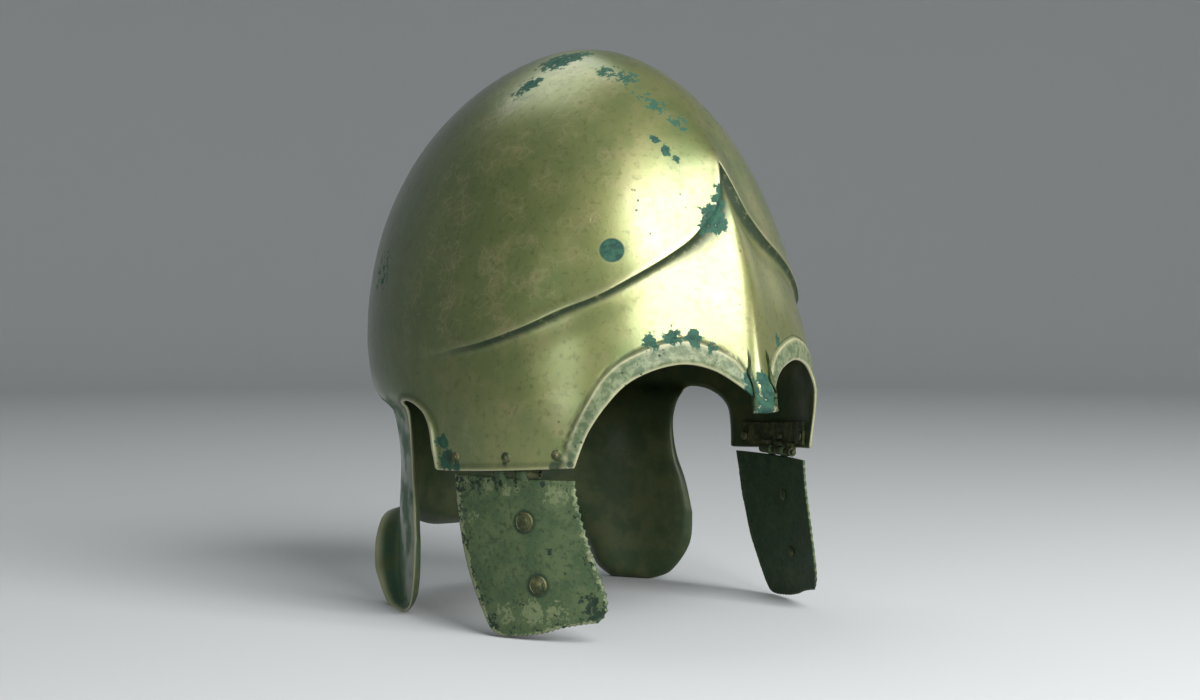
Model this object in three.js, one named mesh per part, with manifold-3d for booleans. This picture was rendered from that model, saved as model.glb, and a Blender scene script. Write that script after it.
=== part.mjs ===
// A bronze helmet with a peaked brow ridge, eye arches, a small nose guard, ear openings,
// a flared neck guard and two hinged cheek-pieces.
// Millimetres, +Z up, the face looks along -Y, the wearer's right is -X.
// The origin is on the ground under the middle of the helmet.

import * as THREE from 'three'
import { mergeVertices } from 'three/addons/utils/BufferGeometryUtils.js'
import Module from 'manifold-3d'

const wasm = await Module()
wasm.setup()

// Driving sizes
const crownHeight = 275
const shoulderHeight = 128
const crownSetBack = 16
const middleToOrigin = -9.8
const wall = 1.4
const gap = 0.3
const weld = 1e-4
const sheetWidthPerDegree = 1.7

// Plan of the skull at the shoulder, and how it closes towards the crown
const skull = {
  halfWidth: 97.6, widthFall: 1.75, widthRound: 1.8,
  front: 102.6, frontFall: 2.13, frontRound: 2.3,
  back: 131.2, backFall: 2.4, backRound: 1.6,
  squareFront: 0.08, squareBack: 0.2, frontSoftens: 4
}

// Plans below the shoulder, a row for each height: half width, reach from the middle, roundness
const brow = [
  { z: 60, halfWidth: 97, reach: 109, power: 2.15 },
  { z: 78, halfWidth: 97.5, reach: 108.6, power: 2.15 },
  { z: 96, halfWidth: 98.2, reach: 108.4, power: 2.15 },
  { z: 108, halfWidth: 98.4, reach: 107.2, power: 2.15 },
  { z: 118, halfWidth: 98.2, reach: 104.2, power: 2.12 },
  { z: 128, halfWidth: 97.6, reach: 102.6, power: 2.08 }
]
const neck = [
  { z: -5, halfWidth: 87, reach: 102, power: 2.2 },
  { z: 8, halfWidth: 89, reach: 103.5, power: 2.2 },
  { z: 25, halfWidth: 90.2, reach: 104, power: 2.2 },
  { z: 45, halfWidth: 90.2, reach: 104, power: 2.2 },
  { z: 70, halfWidth: 89.6, reach: 103.5, power: 2.2 },
  { z: 87, halfWidth: 91, reach: 105, power: 2.2 },
  { z: 95, halfWidth: 92.8, reach: 106, power: 2.2 },
  { z: 100.5, halfWidth: 95, reach: 109, power: 2.2 },
  { z: 103, halfWidth: 97, reach: 117.5, power: 2.2 },
  { z: 107, halfWidth: 98.2, reach: 122, power: 2.2 },
  { z: 116, halfWidth: 98.1, reach: 127.2, power: 2.2 },
  { z: 128, halfWidth: 97.6, reach: 131.2, power: 2.2 }
]
const browToNeck = { from: 92, to: 110 }

// Soft keel down the middle of the face
const keel = { proud: 4.5, spread: 8, full: 215, gone: 245 }

// The brow ridge: its height and how far its lip stands out, by angle from the face
const ridge = [
  { deg: 0, z: 217, lip: 3.2 },
  { deg: 1.5, z: 211, lip: 3.2 },
  { deg: 3, z: 205, lip: 3.2 },
  { deg: 6, z: 195.5, lip: 3.1 },
  { deg: 11, z: 187.5, lip: 3 },
  { deg: 16, z: 180.5, lip: 2.9 },
  { deg: 22.5, z: 174, lip: 2.8 },
  { deg: 34, z: 163.5, lip: 2.6 },
  { deg: 43, z: 155.5, lip: 2.4 },
  { deg: 53.5, z: 148.5, lip: 2.2 },
  { deg: 64.5, z: 140.5, lip: 2 },
  { deg: 77, z: 133.5, lip: 1.5 },
  { deg: 87.5, z: 129.5, lip: 1 },
  { deg: 95.5, z: 126.5, lip: 0.4 },
  { deg: 106, z: 124.8, lip: 0 },
  { deg: 180, z: 124.5, lip: 0 }
]

// Section across the ridge: distance below its line, and the offset as a share of the lip
const ridgeSection = [
  { below: -8, share: 0 },
  { below: -3, share: 0.25 },
  { below: 0, share: 0.4 },
  { below: 1.3, share: -0.5 },
  { below: 5, share: -0.6 },
  { below: 14, share: -0.3 },
  { below: 30, share: 0 }
]

// The lower edge of the left half, from the nose to the nape, in stretches between corners.
// deg and z place the edge, top is where its rib meets the ridge line, flare turns the edge out
// over depth, and lead is how far the rib leaves the edge squarely.
const edge = {
  noseFoot: {
    steps: 2,
    knots: [
      { deg: 0, z: 101.2, top: 0, flare: 0, depth: 6, lead: 3 },
      { deg: 3.7, z: 101.6, top: 3, flare: 0, depth: 6, lead: 1 }
    ]
  },
  eyeArch: {
    steps: 12,
    knots: [
      { deg: 3.7, z: 101.6, top: 3, flare: 0, depth: 6, lead: 1 },
      { deg: 2.9, z: 106.5, top: 5, flare: 0, depth: 6, lead: 1 },
      { deg: 5.2, z: 112.5, top: 8, flare: 0, depth: 6, lead: 2 },
      { deg: 12, z: 120.6, top: 14, flare: 0, depth: 6, lead: 8 },
      { deg: 21.2, z: 124, top: 22, flare: 0, depth: 6, lead: 9 },
      { deg: 31.1, z: 120.5, top: 31, flare: 0, depth: 6, lead: 9 },
      { deg: 39.7, z: 112, top: 39, flare: 0, depth: 6, lead: 9 },
      { deg: 47.5, z: 96, top: 46, flare: 0, depth: 6, lead: 8 },
      { deg: 52, z: 78.3, top: 51, flare: 0, depth: 6, lead: 3 }
    ]
  },
  tabFoot: {
    steps: 5,
    knots: [
      { deg: 52, z: 78.3, top: 51, flare: 0, depth: 6, lead: 3 },
      { deg: 65, z: 76.7, top: 61, flare: 0, depth: 6, lead: 9 },
      { deg: 78, z: 75.1, top: 71, flare: 0, depth: 6, lead: 9 },
      { deg: 91.7, z: 73.5, top: 80, flare: 1.5, depth: 6, lead: 3 }
    ]
  },
  earOpening: {
    steps: 11,
    knots: [
      { deg: 91.7, z: 73.5, top: 80, flare: 1.5, depth: 6, lead: 3 },
      { deg: 92.3, z: 84, top: 85, flare: 2.5, depth: 7, lead: 7 },
      { deg: 93.6, z: 95.5, top: 91, flare: 2.3, depth: 7, lead: 7 },
      { deg: 98, z: 103.3, top: 98, flare: 1.6, depth: 7, lead: 6 },
      { deg: 104, z: 104.4, top: 105, flare: 0.8, depth: 7, lead: 6 },
      { deg: 108, z: 97.5, top: 111.5, flare: 0.8, depth: 7, lead: 6 },
      { deg: 109.3, z: 84, top: 116.5, flare: 1.8, depth: 8, lead: 8 },
      { deg: 108.2, z: 69, top: 120.5, flare: 2.8, depth: 8, lead: 9 },
      { deg: 105.5, z: 54, top: 123.5, flare: 3, depth: 8, lead: 9 },
      { deg: 103.5, z: 37, top: 126, flare: 3, depth: 8, lead: 9 }
    ]
  },
  lobe: {
    steps: 5,
    knots: [
      { deg: 103.5, z: 37, top: 126, flare: 3, depth: 8, lead: 9 },
      { deg: 104.4, z: 20, top: 128, flare: 3.5, depth: 9, lead: 9 },
      { deg: 110, z: 5.5, top: 130.5, flare: 4, depth: 11, lead: 9 },
      { deg: 118.5, z: 0, top: 132.5, flare: 4, depth: 12, lead: 9 }
    ]
  },
  foot: {
    steps: 2,
    knots: [
      { deg: 118.5, z: 0, top: 132.5, flare: 4, depth: 12, lead: 9 },
      { deg: 129, z: 0, top: 136.5, flare: 7, depth: 13, lead: 9 }
    ]
  },
  nape: {
    steps: 9,
    knots: [
      { deg: 129, z: 0, top: 136.5, flare: 7, depth: 13, lead: 9 },
      { deg: 134.5, z: 6, top: 138.5, flare: 10.5, depth: 15, lead: 9 },
      { deg: 138, z: 17, top: 141, flare: 14, depth: 16, lead: 9 },
      { deg: 142.5, z: 30, top: 144.5, flare: 15, depth: 16, lead: 9 },
      { deg: 148.5, z: 41, top: 149.5, flare: 14.5, depth: 16, lead: 9 },
      { deg: 156, z: 43, top: 156, flare: 13, depth: 16, lead: 9 },
      { deg: 164, z: 37.5, top: 164, flare: 13, depth: 16, lead: 9 },
      { deg: 172, z: 33, top: 172, flare: 13, depth: 16, lead: 9 },
      { deg: 180, z: 32, top: 180, flare: 13, depth: 16, lead: 9 }
    ]
  }
}
const lipShare = 0.75
const lipDepthShare = 0.36
const ribLeave = 0.35
const ribArrive = 0.42

// Raised band round the eye arches: its width by angle, and its thickness
const band = [
  { deg: 0, width: 3 },
  { deg: 4, width: 4 },
  { deg: 9, width: 8.5 },
  { deg: 21, width: 10.5 },
  { deg: 36, width: 9.5 },
  { deg: 48, width: 6.5 },
  { deg: 52, width: 5.5 }
]
const bandEnd = 53
const bandRaise = 0.7
const plainRowWidth = 5

// Rows of the skin: distances from the edge past the band, and distances below the ridge
const bandRows = [0, 0.45, 1]
const pastBand = [1, 8]
const middleRows = 2
const underRidge = [14, 5, 1.3, 0]
const overRidge = 3
const domeRows = 6
const leastMiddle = 6

// Hinge of a cheek-piece, set inside the tab in front of the ear
const hinge = {
  deg: 70.5, z: 75, inset: 5, knuckleRadius: 2.3, pinRadius: 1, bore: 1.35,
  pinLength: 32, knuckles: 5, knuckleWidth: 5.6, pitch: 6, sides: 10
}
const leaf = { from: 55, to: 87.5, low: 1.8, high: 13, thick: 1.5, steps: 5 }
const leafNeck = { low: 1.1, high: 4.4, inboard: 0.4, short: 0.25, skinRadius: 118 }

// Cheek-piece: a curved plate; its rear, foot and front edges by distance along the pin and below it
const cheek = {
  thick: 1.3, top: 2.8, curve: 150, tilt: 0.03, across: 7, down: 3, margin: 4, cut: 60,
  rearSteps: 9, tooth: 3.8, toothDepth: 0.9, toothPeak: 0.7
}
const cheekRear = [
  { along: -34.2, below: 2.8 },
  { along: -30.5, below: 25 },
  { along: -25, below: 44.4 },
  { along: -18.6, below: 58 },
  { along: -12.5, below: 68.5 },
  { along: -8, below: 73 },
  { along: -2, below: 73.9 }
]
const cheekFoot = [
  { along: -2, below: 73.9 },
  { along: 9, below: 73 },
  { along: 18.5, below: 71 },
  { along: 26, below: 68.6 },
  { along: 34, below: 66.8 },
  { along: 42.5, below: 65.2 }
]
const cheekFront = [
  { along: 31, below: 2.8 },
  { along: 32.2, below: 9 },
  { along: 34.2, below: 18 },
  { along: 37, below: 27 },
  { along: 40.2, below: 36 },
  { along: 44, below: 46 },
  { along: 46.6, below: 54 },
  { along: 46.4, below: 61 },
  { along: 42.5, below: 65.2 }
]

// Rivets: the tab's three hold the hinge leaf, the cheek-piece's two are flat-headed
const tabRivets = [
  { deg: 56.5, z: 84 },
  { deg: 70.5, z: 82 },
  { deg: 86, z: 80.5 }
]
const rivet = {
  shank: 1.3, hole: 1.65, head: 2.6, headHigh: 0.9, tail: 2.3, tailHigh: 0.8, sides: 8, cut: 20
}
const cheekRivets = [
  { along: 7, below: 22 },
  { along: 14.5, below: 50 }
]
const cheekRivet = { head: 4.6, headHigh: 0.8, tail: 2.6, tailHigh: 0.8 }

// Domed ends of a rivet: share of the radius at a share of the height
const headDome = [
  { height: 0, radius: 1 },
  { height: 0.55, radius: 0.92 },
  { height: 1, radius: 0.5 }
]
const tailDome = [
  { height: 0.8, radius: 0.7 },
  { height: 0, radius: 1 }
]

const bronze = new THREE.MeshStandardMaterial({ color: 0x9a9152, roughness: 0.5, metalness: 0.75 })
const greenBronze = new THREE.MeshStandardMaterial({ color: 0x5d7350, roughness: 0.7, metalness: 0.4 })
const darkBronze = new THREE.MeshStandardMaterial({ color: 0x3f4a34, roughness: 0.65, metalness: 0.5 })

const degrees = THREE.MathUtils.degToRad

// Straight-line reading of a table column
function read(table, key, at, column) {
  if (at <= table[0][key]) return table[0][column]
  for (let i = 1; i < table.length; i++) {
    const a = table[i - 1]
    const b = table[i]
    if (at <= b[key]) return THREE.MathUtils.mapLinear(at, a[key], b[key], a[column], b[column])
  }
  return table[table.length - 1][column]
}

function powered(value, power) {
  return Math.sign(value) * Math.abs(value) ** power
}

// The plain skin of the helmet, without ridge, band or turned edges
function skin(deg, z) {
  const up = THREE.MathUtils.clamp((z - shoulderHeight) / (crownHeight - shoulderHeight), 0, 1)
  const facing = Math.cos(degrees(deg))
  let halfWidth = skull.halfWidth * (1 - up ** skull.widthFall) ** (1 / skull.widthRound)
  let front = skull.front * (1 - up ** skull.frontFall) ** (1 / skull.frontRound)
  let back = skull.back * (1 - up ** skull.backFall) ** (1 / skull.backRound)
  let power = 2 + skull.squareBack * (1 - up)
  if (facing > 0) power = 2 + skull.squareFront * (1 - Math.min(1, skull.frontSoftens * up))
  if (z < shoulderHeight) {
    const towardsNeck = THREE.MathUtils.smoothstep(Math.abs(deg), browToNeck.from, browToNeck.to)
    halfWidth = THREE.MathUtils.lerp(
      read(brow, 'z', z, 'halfWidth'), read(neck, 'z', z, 'halfWidth'), towardsNeck)
    front = read(brow, 'z', z, 'reach')
    back = read(neck, 'z', z, 'reach')
    power = read(facing > 0 ? brow : neck, 'z', z, 'power')
  }
  const keelHere = keel.proud * (1 - THREE.MathUtils.smoothstep(z, keel.full, keel.gone))
  const x = halfWidth * powered(Math.sin(degrees(deg)), 2 / power)
  const y = crownSetBack * up - (facing > 0 ? front : back) * powered(facing, 2 / power)
  const forward = keelHere * Math.exp(-((deg / keel.spread) ** 2))
  return new THREE.Vector3(x, y - forward + middleToOrigin, z)
}

// Level outward direction of the skin
function outward(deg, z) {
  const along = skin(deg + 0.5, z).sub(skin(deg - 0.5, z))
  return new THREE.Vector3(along.y, -along.x, 0).normalize()
}

// How far the edge is turned out, at a distance in from it
function turnedOut(flare, depth, distance) {
  const whole = Math.max(0, 1 - distance / depth)
  const lip = Math.max(0, 1 - distance / (depth * lipDepthShare))
  return flare * ((1 - lipShare) * whole ** 2 + lipShare * lip ** 2)
}

// Samples along the lower edge of one half, nose to nape
function edgeSamples() {
  const samples = []
  for (const stretch of Object.values(edge)) {
    const line = new THREE.SplineCurve(stretch.knots.map((k) => new THREE.Vector2(k.deg, k.z)))
    for (let i = samples.length ? 1 : 0; i <= stretch.steps; i++) {
      const share = i / stretch.steps
      const place = line.getPoint(share)
      const at = share * (stretch.knots.length - 1)
      const rows = stretch.knots.map((k, n) => ({ n, ...k }))
      const sample = { deg: place.x, z: Math.max(0, place.y) }
      for (const column of ['top', 'flare', 'depth', 'lead']) {
        sample[column] = read(rows, 'n', at, column)
      }
      samples.push(sample)
    }
  }
  return samples
}

// A rib runs over the flat sheet from an edge sample up to the ridge line
function ribs() {
  const samples = edgeSamples()
  const flat = samples.map((s) => new THREE.Vector2(s.deg * sheetWidthPerDegree, s.z))
  const last = flat.length - 1
  return samples.map((s, i) => {
    const before = i > 0 ? flat[i - 1] : new THREE.Vector2(-flat[1].x, flat[1].y)
    const mirroredEnd = new THREE.Vector2(2 * flat[last].x - flat[last - 1].x, flat[last - 1].y)
    const after = i < last ? flat[i + 1] : mirroredEnd
    const arriving = flat[i].clone().sub(before).normalize()
    const leaving = after.clone().sub(flat[i]).normalize()
    const into = arriving.add(leaving).normalize()
    const inward = new THREE.Vector2(-into.y, into.x)
    const top = new THREE.Vector2(s.top * sheetWidthPerDegree, read(ridge, 'deg', s.top, 'z'))
    const span = top.distanceTo(flat[i])
    const leave = flat[i].clone().addScaledVector(inward, Math.min(s.lead, ribLeave * span))
    const arrive = new THREE.Vector2(top.x, top.y - ribArrive * span)
    return { ...s, path: new THREE.CubicBezierCurve(flat[i], leave, arrive, top) }
  })
}

// Distances of the rows along a rib
function rowDistances(rib, bandWidth) {
  const length = rib.path.getLength()
  const onBand = bandRows.map((share) => share * bandWidth)
  const near = onBand.concat(pastBand.map((past) => bandWidth + past))
  const squeeze = Math.min(1, length / (near[near.length - 1] + underRidge[0] + leastMiddle))
  const rows = near.map((distance) => distance * squeeze)
  const lowest = rows[rows.length - 1]
  const highest = length - underRidge[0] * squeeze
  for (let i = 1; i <= middleRows; i++) {
    rows.push(THREE.MathUtils.lerp(lowest, highest, i / (middleRows + 1)))
  }
  for (const below of underRidge) rows.push(length - below * squeeze)
  return rows
}

// Points of one rib on the worked skin, edge to crown; band is the extra thickness outside
function ribPoints(rib) {
  const bandWidth = rib.deg < bandEnd ? read(band, 'deg', rib.deg, 'width') : plainRowWidth
  const length = rib.path.getLength()
  const points = rowDistances(rib, bandWidth).map((distance, row) => {
    const at = rib.path.getPointAt(Math.min(1, distance / length))
    const deg = at.x / sheetWidthPerDegree
    const lip = read(ridge, 'deg', deg, 'lip')
    const ridgeShare = read(ridgeSection, 'below', length - distance, 'share')
    const out = turnedOut(rib.flare, rib.depth, distance) + lip * ridgeShare
    const point = skin(deg, at.y).addScaledVector(outward(deg, at.y), out)
    return { point, raise: rib.deg < bandEnd && row < bandRows.length ? bandRaise : 0 }
  })
  const ridgeZ = read(ridge, 'deg', rib.top, 'z')
  const lip = read(ridge, 'deg', rib.top, 'lip')
  for (let row = 0; row <= domeRows; row++) {
    const rise = Math.sin((row / (domeRows + 1)) * Math.PI / 2)
    const start = ridgeZ + overRidge
    const z = THREE.MathUtils.lerp(start, crownHeight, rise)
    const out = lip * read(ridgeSection, 'below', ridgeZ - z, 'share')
    points.push({ point: skin(rib.top, z).addScaledVector(outward(rib.top, z), out), raise: 0 })
  }
  return points
}

// Closed geometry from triangles, with shared corners merged
function geometryFrom(corners) {
  const geometry = new THREE.BufferGeometry()
  const values = corners.flatMap((corner) => [corner.x, corner.y, corner.z])
  geometry.setAttribute('position', new THREE.Float32BufferAttribute(values, 3))
  return mergeVertices(geometry, weld)
}

function quad(a, b, c, d) {
  return [a, b, c, a, c, d]
}

function solidFrom(geometry) {
  const merged = mergeVertices(geometry.clone().deleteAttribute('normal').deleteAttribute('uv'), weld)
  const mesh = new wasm.Mesh({
    numProp: 3,
    vertProperties: new Float32Array(merged.attributes.position.array),
    triVerts: new Uint32Array(merged.index.array)
  })
  return new wasm.Manifold(mesh)
}

function geometryOf(solid) {
  const mesh = solid.getMesh()
  const geometry = new THREE.BufferGeometry()
  geometry.setAttribute('position', new THREE.BufferAttribute(new Float32Array(mesh.vertProperties), 3))
  geometry.setIndex(new THREE.BufferAttribute(new Uint32Array(mesh.triVerts), 1))
  geometry.computeVertexNormals()
  return geometry
}

function pieceOf(name, geometry, material) {
  const piece = new THREE.Mesh(geometry, material)
  piece.name = name
  return piece
}

// The bowl: outer and inner skins joined round the lower edge and closed at the crown
function bowlGeometry() {
  const half = ribs().map(ribPoints)
  const mirrored = half.slice(1, -1).reverse().map((rib) => rib.map(({ point, raise }) => (
    { point: new THREE.Vector3(-point.x, point.y, point.z), raise })))
  const all = half.concat(mirrored)
  const columns = all.length
  const rows = all[0].length
  const crown = new THREE.Vector3(0, crownSetBack + middleToOrigin, crownHeight)
  const at = (column, row) => all[(column + columns) % columns][row].point
  const outer = []
  const inner = []
  for (let c = 0; c < columns; c++) {
    outer.push([])
    inner.push([])
    for (let r = 0; r < rows; r++) {
      const along = at(c + 1, r).clone().sub(at(c - 1, r))
      const above = r < rows - 1 ? at(c, r + 1) : crown
      const upward = above.clone().sub(r > 0 ? at(c, r - 1) : at(c, r))
      const normal = along.cross(upward).normalize()
      const point = at(c, r)
      const onFoot = r === 0 && point.z < weld
      outer[c].push(point.clone().addScaledVector(normal, all[c][r].raise))
      inner[c].push(point.clone().addScaledVector(normal, -wall))
      if (onFoot) outer[c][r].z = inner[c][r].z = 0
    }
  }
  const innerCrown = crown.clone()
  innerCrown.z -= wall
  const corners = []
  for (let c = 0; c < columns; c++) {
    const n = (c + 1) % columns
    for (let r = 0; r < rows - 1; r++) {
      corners.push(...quad(outer[c][r], outer[n][r], outer[n][r + 1], outer[c][r + 1]))
      corners.push(...quad(inner[n][r], inner[c][r], inner[c][r + 1], inner[n][r + 1]))
    }
    corners.push(outer[c][rows - 1], outer[n][rows - 1], crown)
    corners.push(inner[n][rows - 1], inner[c][rows - 1], innerCrown)
    corners.push(...quad(inner[c][0], inner[n][0], outer[n][0], outer[c][0]))
  }
  return geometryFrom(corners)
}

// A curved strip inside the skin, between two angles, two height rules and two depths
function stripGeometry(from, to, steps, lowAt, highAt, outerDepth, innerDepth) {
  const geometry = new THREE.BoxGeometry(1, 1, 1, steps, 1, 1)
  const places = geometry.attributes.position
  for (let i = 0; i < places.count; i++) {
    const deg = THREE.MathUtils.lerp(to, from, places.getX(i) + 0.5)
    const depth = THREE.MathUtils.lerp(innerDepth, outerDepth, places.getY(i) + 0.5)
    const z = THREE.MathUtils.lerp(lowAt(deg), highAt(deg), places.getZ(i) + 0.5)
    const place = skin(deg, z).addScaledVector(outward(deg, z), -depth)
    places.setXYZ(i, place.x, place.y, place.z)
  }
  return geometry
}

// Frame of the hinge: along the pin towards the face, out of the head, and up
function hingeFrame() {
  const out = outward(hinge.deg, hinge.z)
  const forward = new THREE.Vector3(out.y, -out.x, 0)
  const up = new THREE.Vector3(0, 0, 1)
  const origin = skin(hinge.deg, hinge.z).addScaledVector(out, -hinge.inset)
  return { origin, forward, out, up }
}

// Turns a geometry whose X runs along the pin, Y out of the head and Z up into its place
function onHinge(geometry) {
  const frame = hingeFrame()
  const place = new THREE.Matrix4().makeBasis(frame.forward, frame.out, frame.up)
  place.setPosition(frame.origin)
  return geometry.applyMatrix4(place)
}

function rodAlongPin(radius, length, middle, sides) {
  const rod = new THREE.CylinderGeometry(radius, radius, length, sides)
  rod.rotateZ(Math.PI / 2)
  rod.translate(middle, 0, 0)
  return rod
}

function knuckleMiddle(index) {
  return (index - (hinge.knuckles - 1) / 2) * hinge.pitch
}

function knuckles(parity) {
  const solids = []
  for (let i = 0; i < hinge.knuckles; i++) {
    if (i % 2 !== parity) continue
    const knuckle = rodAlongPin(hinge.knuckleRadius, hinge.knuckleWidth, knuckleMiddle(i), hinge.sides)
    solids.push(solidFrom(onHinge(knuckle)))
  }
  return solids
}

function pinBore() {
  return solidFrom(onHinge(rodAlongPin(hinge.bore, 2 * hinge.pinLength, 0, hinge.sides)))
}

function box(low, high) {
  const size = high.map((value, i) => value - low[i])
  const geometry = new THREE.BoxGeometry(...size)
  geometry.translate(...low.map((value, i) => value + size[i] / 2))
  return geometry
}

function union(solids) {
  return solids.reduce((whole, next) => whole.add(next))
}

// Lathe profile of a rivet along +Y: tail below, head above, shank between
function rivetGeometry(head, headHigh, tail, tailHigh, grip) {
  const profile = [new THREE.Vector2(0, -grip / 2 - tailHigh * tailDome[0].height)]
  for (const row of tailDome) {
    profile.push(new THREE.Vector2(tail * row.radius, -grip / 2 - tailHigh * row.height))
  }
  profile.push(new THREE.Vector2(rivet.shank, -grip / 2), new THREE.Vector2(rivet.shank, grip / 2))
  for (const row of headDome) {
    profile.push(new THREE.Vector2(head * row.radius, grip / 2 + headHigh * row.height))
  }
  profile.push(new THREE.Vector2(0, grip / 2 + headHigh))
  return new THREE.LatheGeometry(profile, rivet.sides)
}

// Moves a geometry made along +Y so that it points along a direction at a place
function pointedAt(geometry, direction, place) {
  geometry.applyQuaternion(new THREE.Quaternion().setFromUnitVectors(new THREE.Vector3(0, 1, 0), direction))
  return geometry.translate(place.x, place.y, place.z)
}

function tabRivetPlace(place) {
  const direction = outward(place.deg, place.z)
  const grip = 3 * gap + wall + leaf.thick
  const middle = skin(place.deg, place.z).addScaledVector(direction, gap - grip / 2)
  return { direction, middle, grip }
}

function tabRivetGeometry(place) {
  const { direction, middle, grip } = tabRivetPlace(place)
  const shape = rivetGeometry(rivet.head, rivet.headHigh, rivet.tail, rivet.tailHigh, grip)
  return pointedAt(shape, direction, middle)
}

function tabRivetCutter(place) {
  const { direction, middle } = tabRivetPlace(place)
  const hole = new THREE.CylinderGeometry(rivet.hole, rivet.hole, rivet.cut, rivet.sides)
  return pointedAt(hole, direction, middle)
}

function tabRivetHole(place) {
  return solidFrom(tabRivetCutter(place))
}

function tabFootHeight(deg) {
  return read(edge.tabFoot.knots, 'deg', deg, 'z')
}

function leafGeometry() {
  const outerDepth = wall + gap
  const innerDepth = outerDepth + leaf.thick
  const low = (deg) => tabFootHeight(deg) + leaf.low
  const high = (deg) => tabFootHeight(deg) + leaf.high
  const strip = solidFrom(stripGeometry(leaf.from, leaf.to, leaf.steps, low, high, outerDepth, innerDepth))
  const necks = []
  for (let i = 0; i < hinge.knuckles; i += 2) {
    const middle = knuckleMiddle(i)
    const fall = (Math.abs(middle) + hinge.knuckleWidth / 2) ** 2 / (2 * leafNeck.skinRadius)
    const reach = hinge.inset - outerDepth - leafNeck.short - fall
    const half = hinge.knuckleWidth / 2
    const lowCorner = [middle - half, -leafNeck.inboard, leafNeck.low]
    const highCorner = [middle + half, reach, leafNeck.high]
    necks.push(solidFrom(onHinge(box(lowCorner, highCorner))))
  }
  const body = union([strip, ...necks, ...knuckles(0)])
  return geometryOf(body.subtract(pinBore()).subtract(union(tabRivets.map(tabRivetHole))))
}

// How far the middle of the plate lies out from the pin, along it and below it
function cheekOut(along, below) {
  return cheek.tilt * below - along ** 2 / (2 * cheek.curve)
}

// The plate before trimming, a little larger than its outline
function cheekBlank() {
  const outline = [...cheekRear, ...cheekFoot, ...cheekFront]
  const rear = Math.min(...outline.map((row) => row.along)) - cheek.margin
  const front = Math.max(...outline.map((row) => row.along)) + cheek.margin
  const foot = Math.max(...outline.map((row) => row.below)) + cheek.margin
  const geometry = new THREE.BoxGeometry(front - rear, cheek.thick, foot, cheek.across, 1, cheek.down)
  geometry.translate((front + rear) / 2, 0, -foot / 2)
  const places = geometry.attributes.position
  for (let i = 0; i < places.count; i++) {
    places.setY(i, places.getY(i) + cheekOut(places.getX(i), -places.getZ(i)))
  }
  return geometry
}

// A smooth line through rows in the plane of the pin: X along the pin, Y up
function lineThrough(rows) {
  return new THREE.SplineCurve(rows.map((row) => new THREE.Vector2(row.along, -row.below)))
}

// Puts teeth on a line, standing out to one side: each rises slowly and drops back
function toothed(line, side) {
  const teeth = Math.round(line.getLength() / cheek.tooth)
  const points = []
  for (let i = 0; i < teeth; i++) {
    const along = line.getTangentAt((i + 0.5) / teeth)
    const tip = line.getPointAt((i + cheek.toothPeak) / teeth)
    points.push(line.getPointAt(i / teeth))
    points.push(tip.add(new THREE.Vector2(along.y, -along.x).multiplyScalar(side * cheek.toothDepth)))
  }
  points.push(line.getPointAt(1))
  return points
}

// Outline of the plate in the plane of the pin, with tongues that run up to the knuckles
function cheekShape() {
  const rearPoints = lineThrough(cheekRear).getPoints(cheek.rearSteps)
  const footPoints = toothed(lineThrough(cheekFoot), 1)
  const frontPoints = toothed(lineThrough(cheekFront), -1).reverse()
  const tongues = []
  for (let i = hinge.knuckles - 2; i > 0; i -= 2) {
    const middle = knuckleMiddle(i)
    const half = hinge.knuckleWidth / 2
    tongues.push(new THREE.Vector2(middle + half, -cheek.top), new THREE.Vector2(middle + half, 0))
    tongues.push(new THREE.Vector2(middle - half, 0), new THREE.Vector2(middle - half, -cheek.top))
  }
  return new THREE.Shape([...rearPoints, ...footPoints.slice(1), ...frontPoints.slice(1), ...tongues])
}

function cheekRivetPlace(place) {
  const middle = new THREE.Vector3(place.along, cheekOut(place.along, place.below), -place.below)
  const direction = new THREE.Vector3(place.along / cheek.curve, 1, cheek.tilt).normalize()
  return { middle, direction }
}

function cheekRivetGeometry(place) {
  const { middle, direction } = cheekRivetPlace(place)
  const { head, headHigh, tail, tailHigh } = cheekRivet
  const shape = rivetGeometry(head, headHigh, tail, tailHigh, 2 * gap + cheek.thick)
  return onHinge(pointedAt(shape, direction, middle))
}

function cheekRivetHole(place) {
  const { middle, direction } = cheekRivetPlace(place)
  const hole = new THREE.CylinderGeometry(rivet.hole, rivet.hole, rivet.cut, rivet.sides)
  return solidFrom(onHinge(pointedAt(hole, direction, middle)))
}

function cheekGeometry() {
  const cutter = new THREE.ExtrudeGeometry(cheekShape(), { depth: cheek.cut, bevelEnabled: false })
  cutter.translate(0, 0, -cheek.cut / 2)
  cutter.rotateX(Math.PI / 2)
  const plate = solidFrom(onHinge(cheekBlank())).intersect(solidFrom(onHinge(cutter)))
  const body = union([plate, ...knuckles(1)])
  return geometryOf(body.subtract(pinBore()).subtract(union(cheekRivets.map(cheekRivetHole))))
}

function pinGeometry() {
  return onHinge(rodAlongPin(hinge.pinRadius, hinge.pinLength, 0, hinge.sides))
}

// The same geometry on the wearer's right
function onRight(geometry) {
  const other = mergeVertices(geometry.clone().deleteAttribute('normal').deleteAttribute('uv'), weld)
  other.scale(-1, 1, 1)
  const order = other.index.array
  for (let i = 0; i < order.length; i += 3) [order[i], order[i + 1]] = [order[i + 1], order[i]]
  other.computeVertexNormals()
  return other
}

function bowlWithHoles() {
  const left = tabRivets.map(tabRivetHole)
  const right = tabRivets.map((place) => solidFrom(onRight(tabRivetCutter(place))))
  return geometryOf(solidFrom(bowlGeometry()).subtract(union([...left, ...right])))
}

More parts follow.
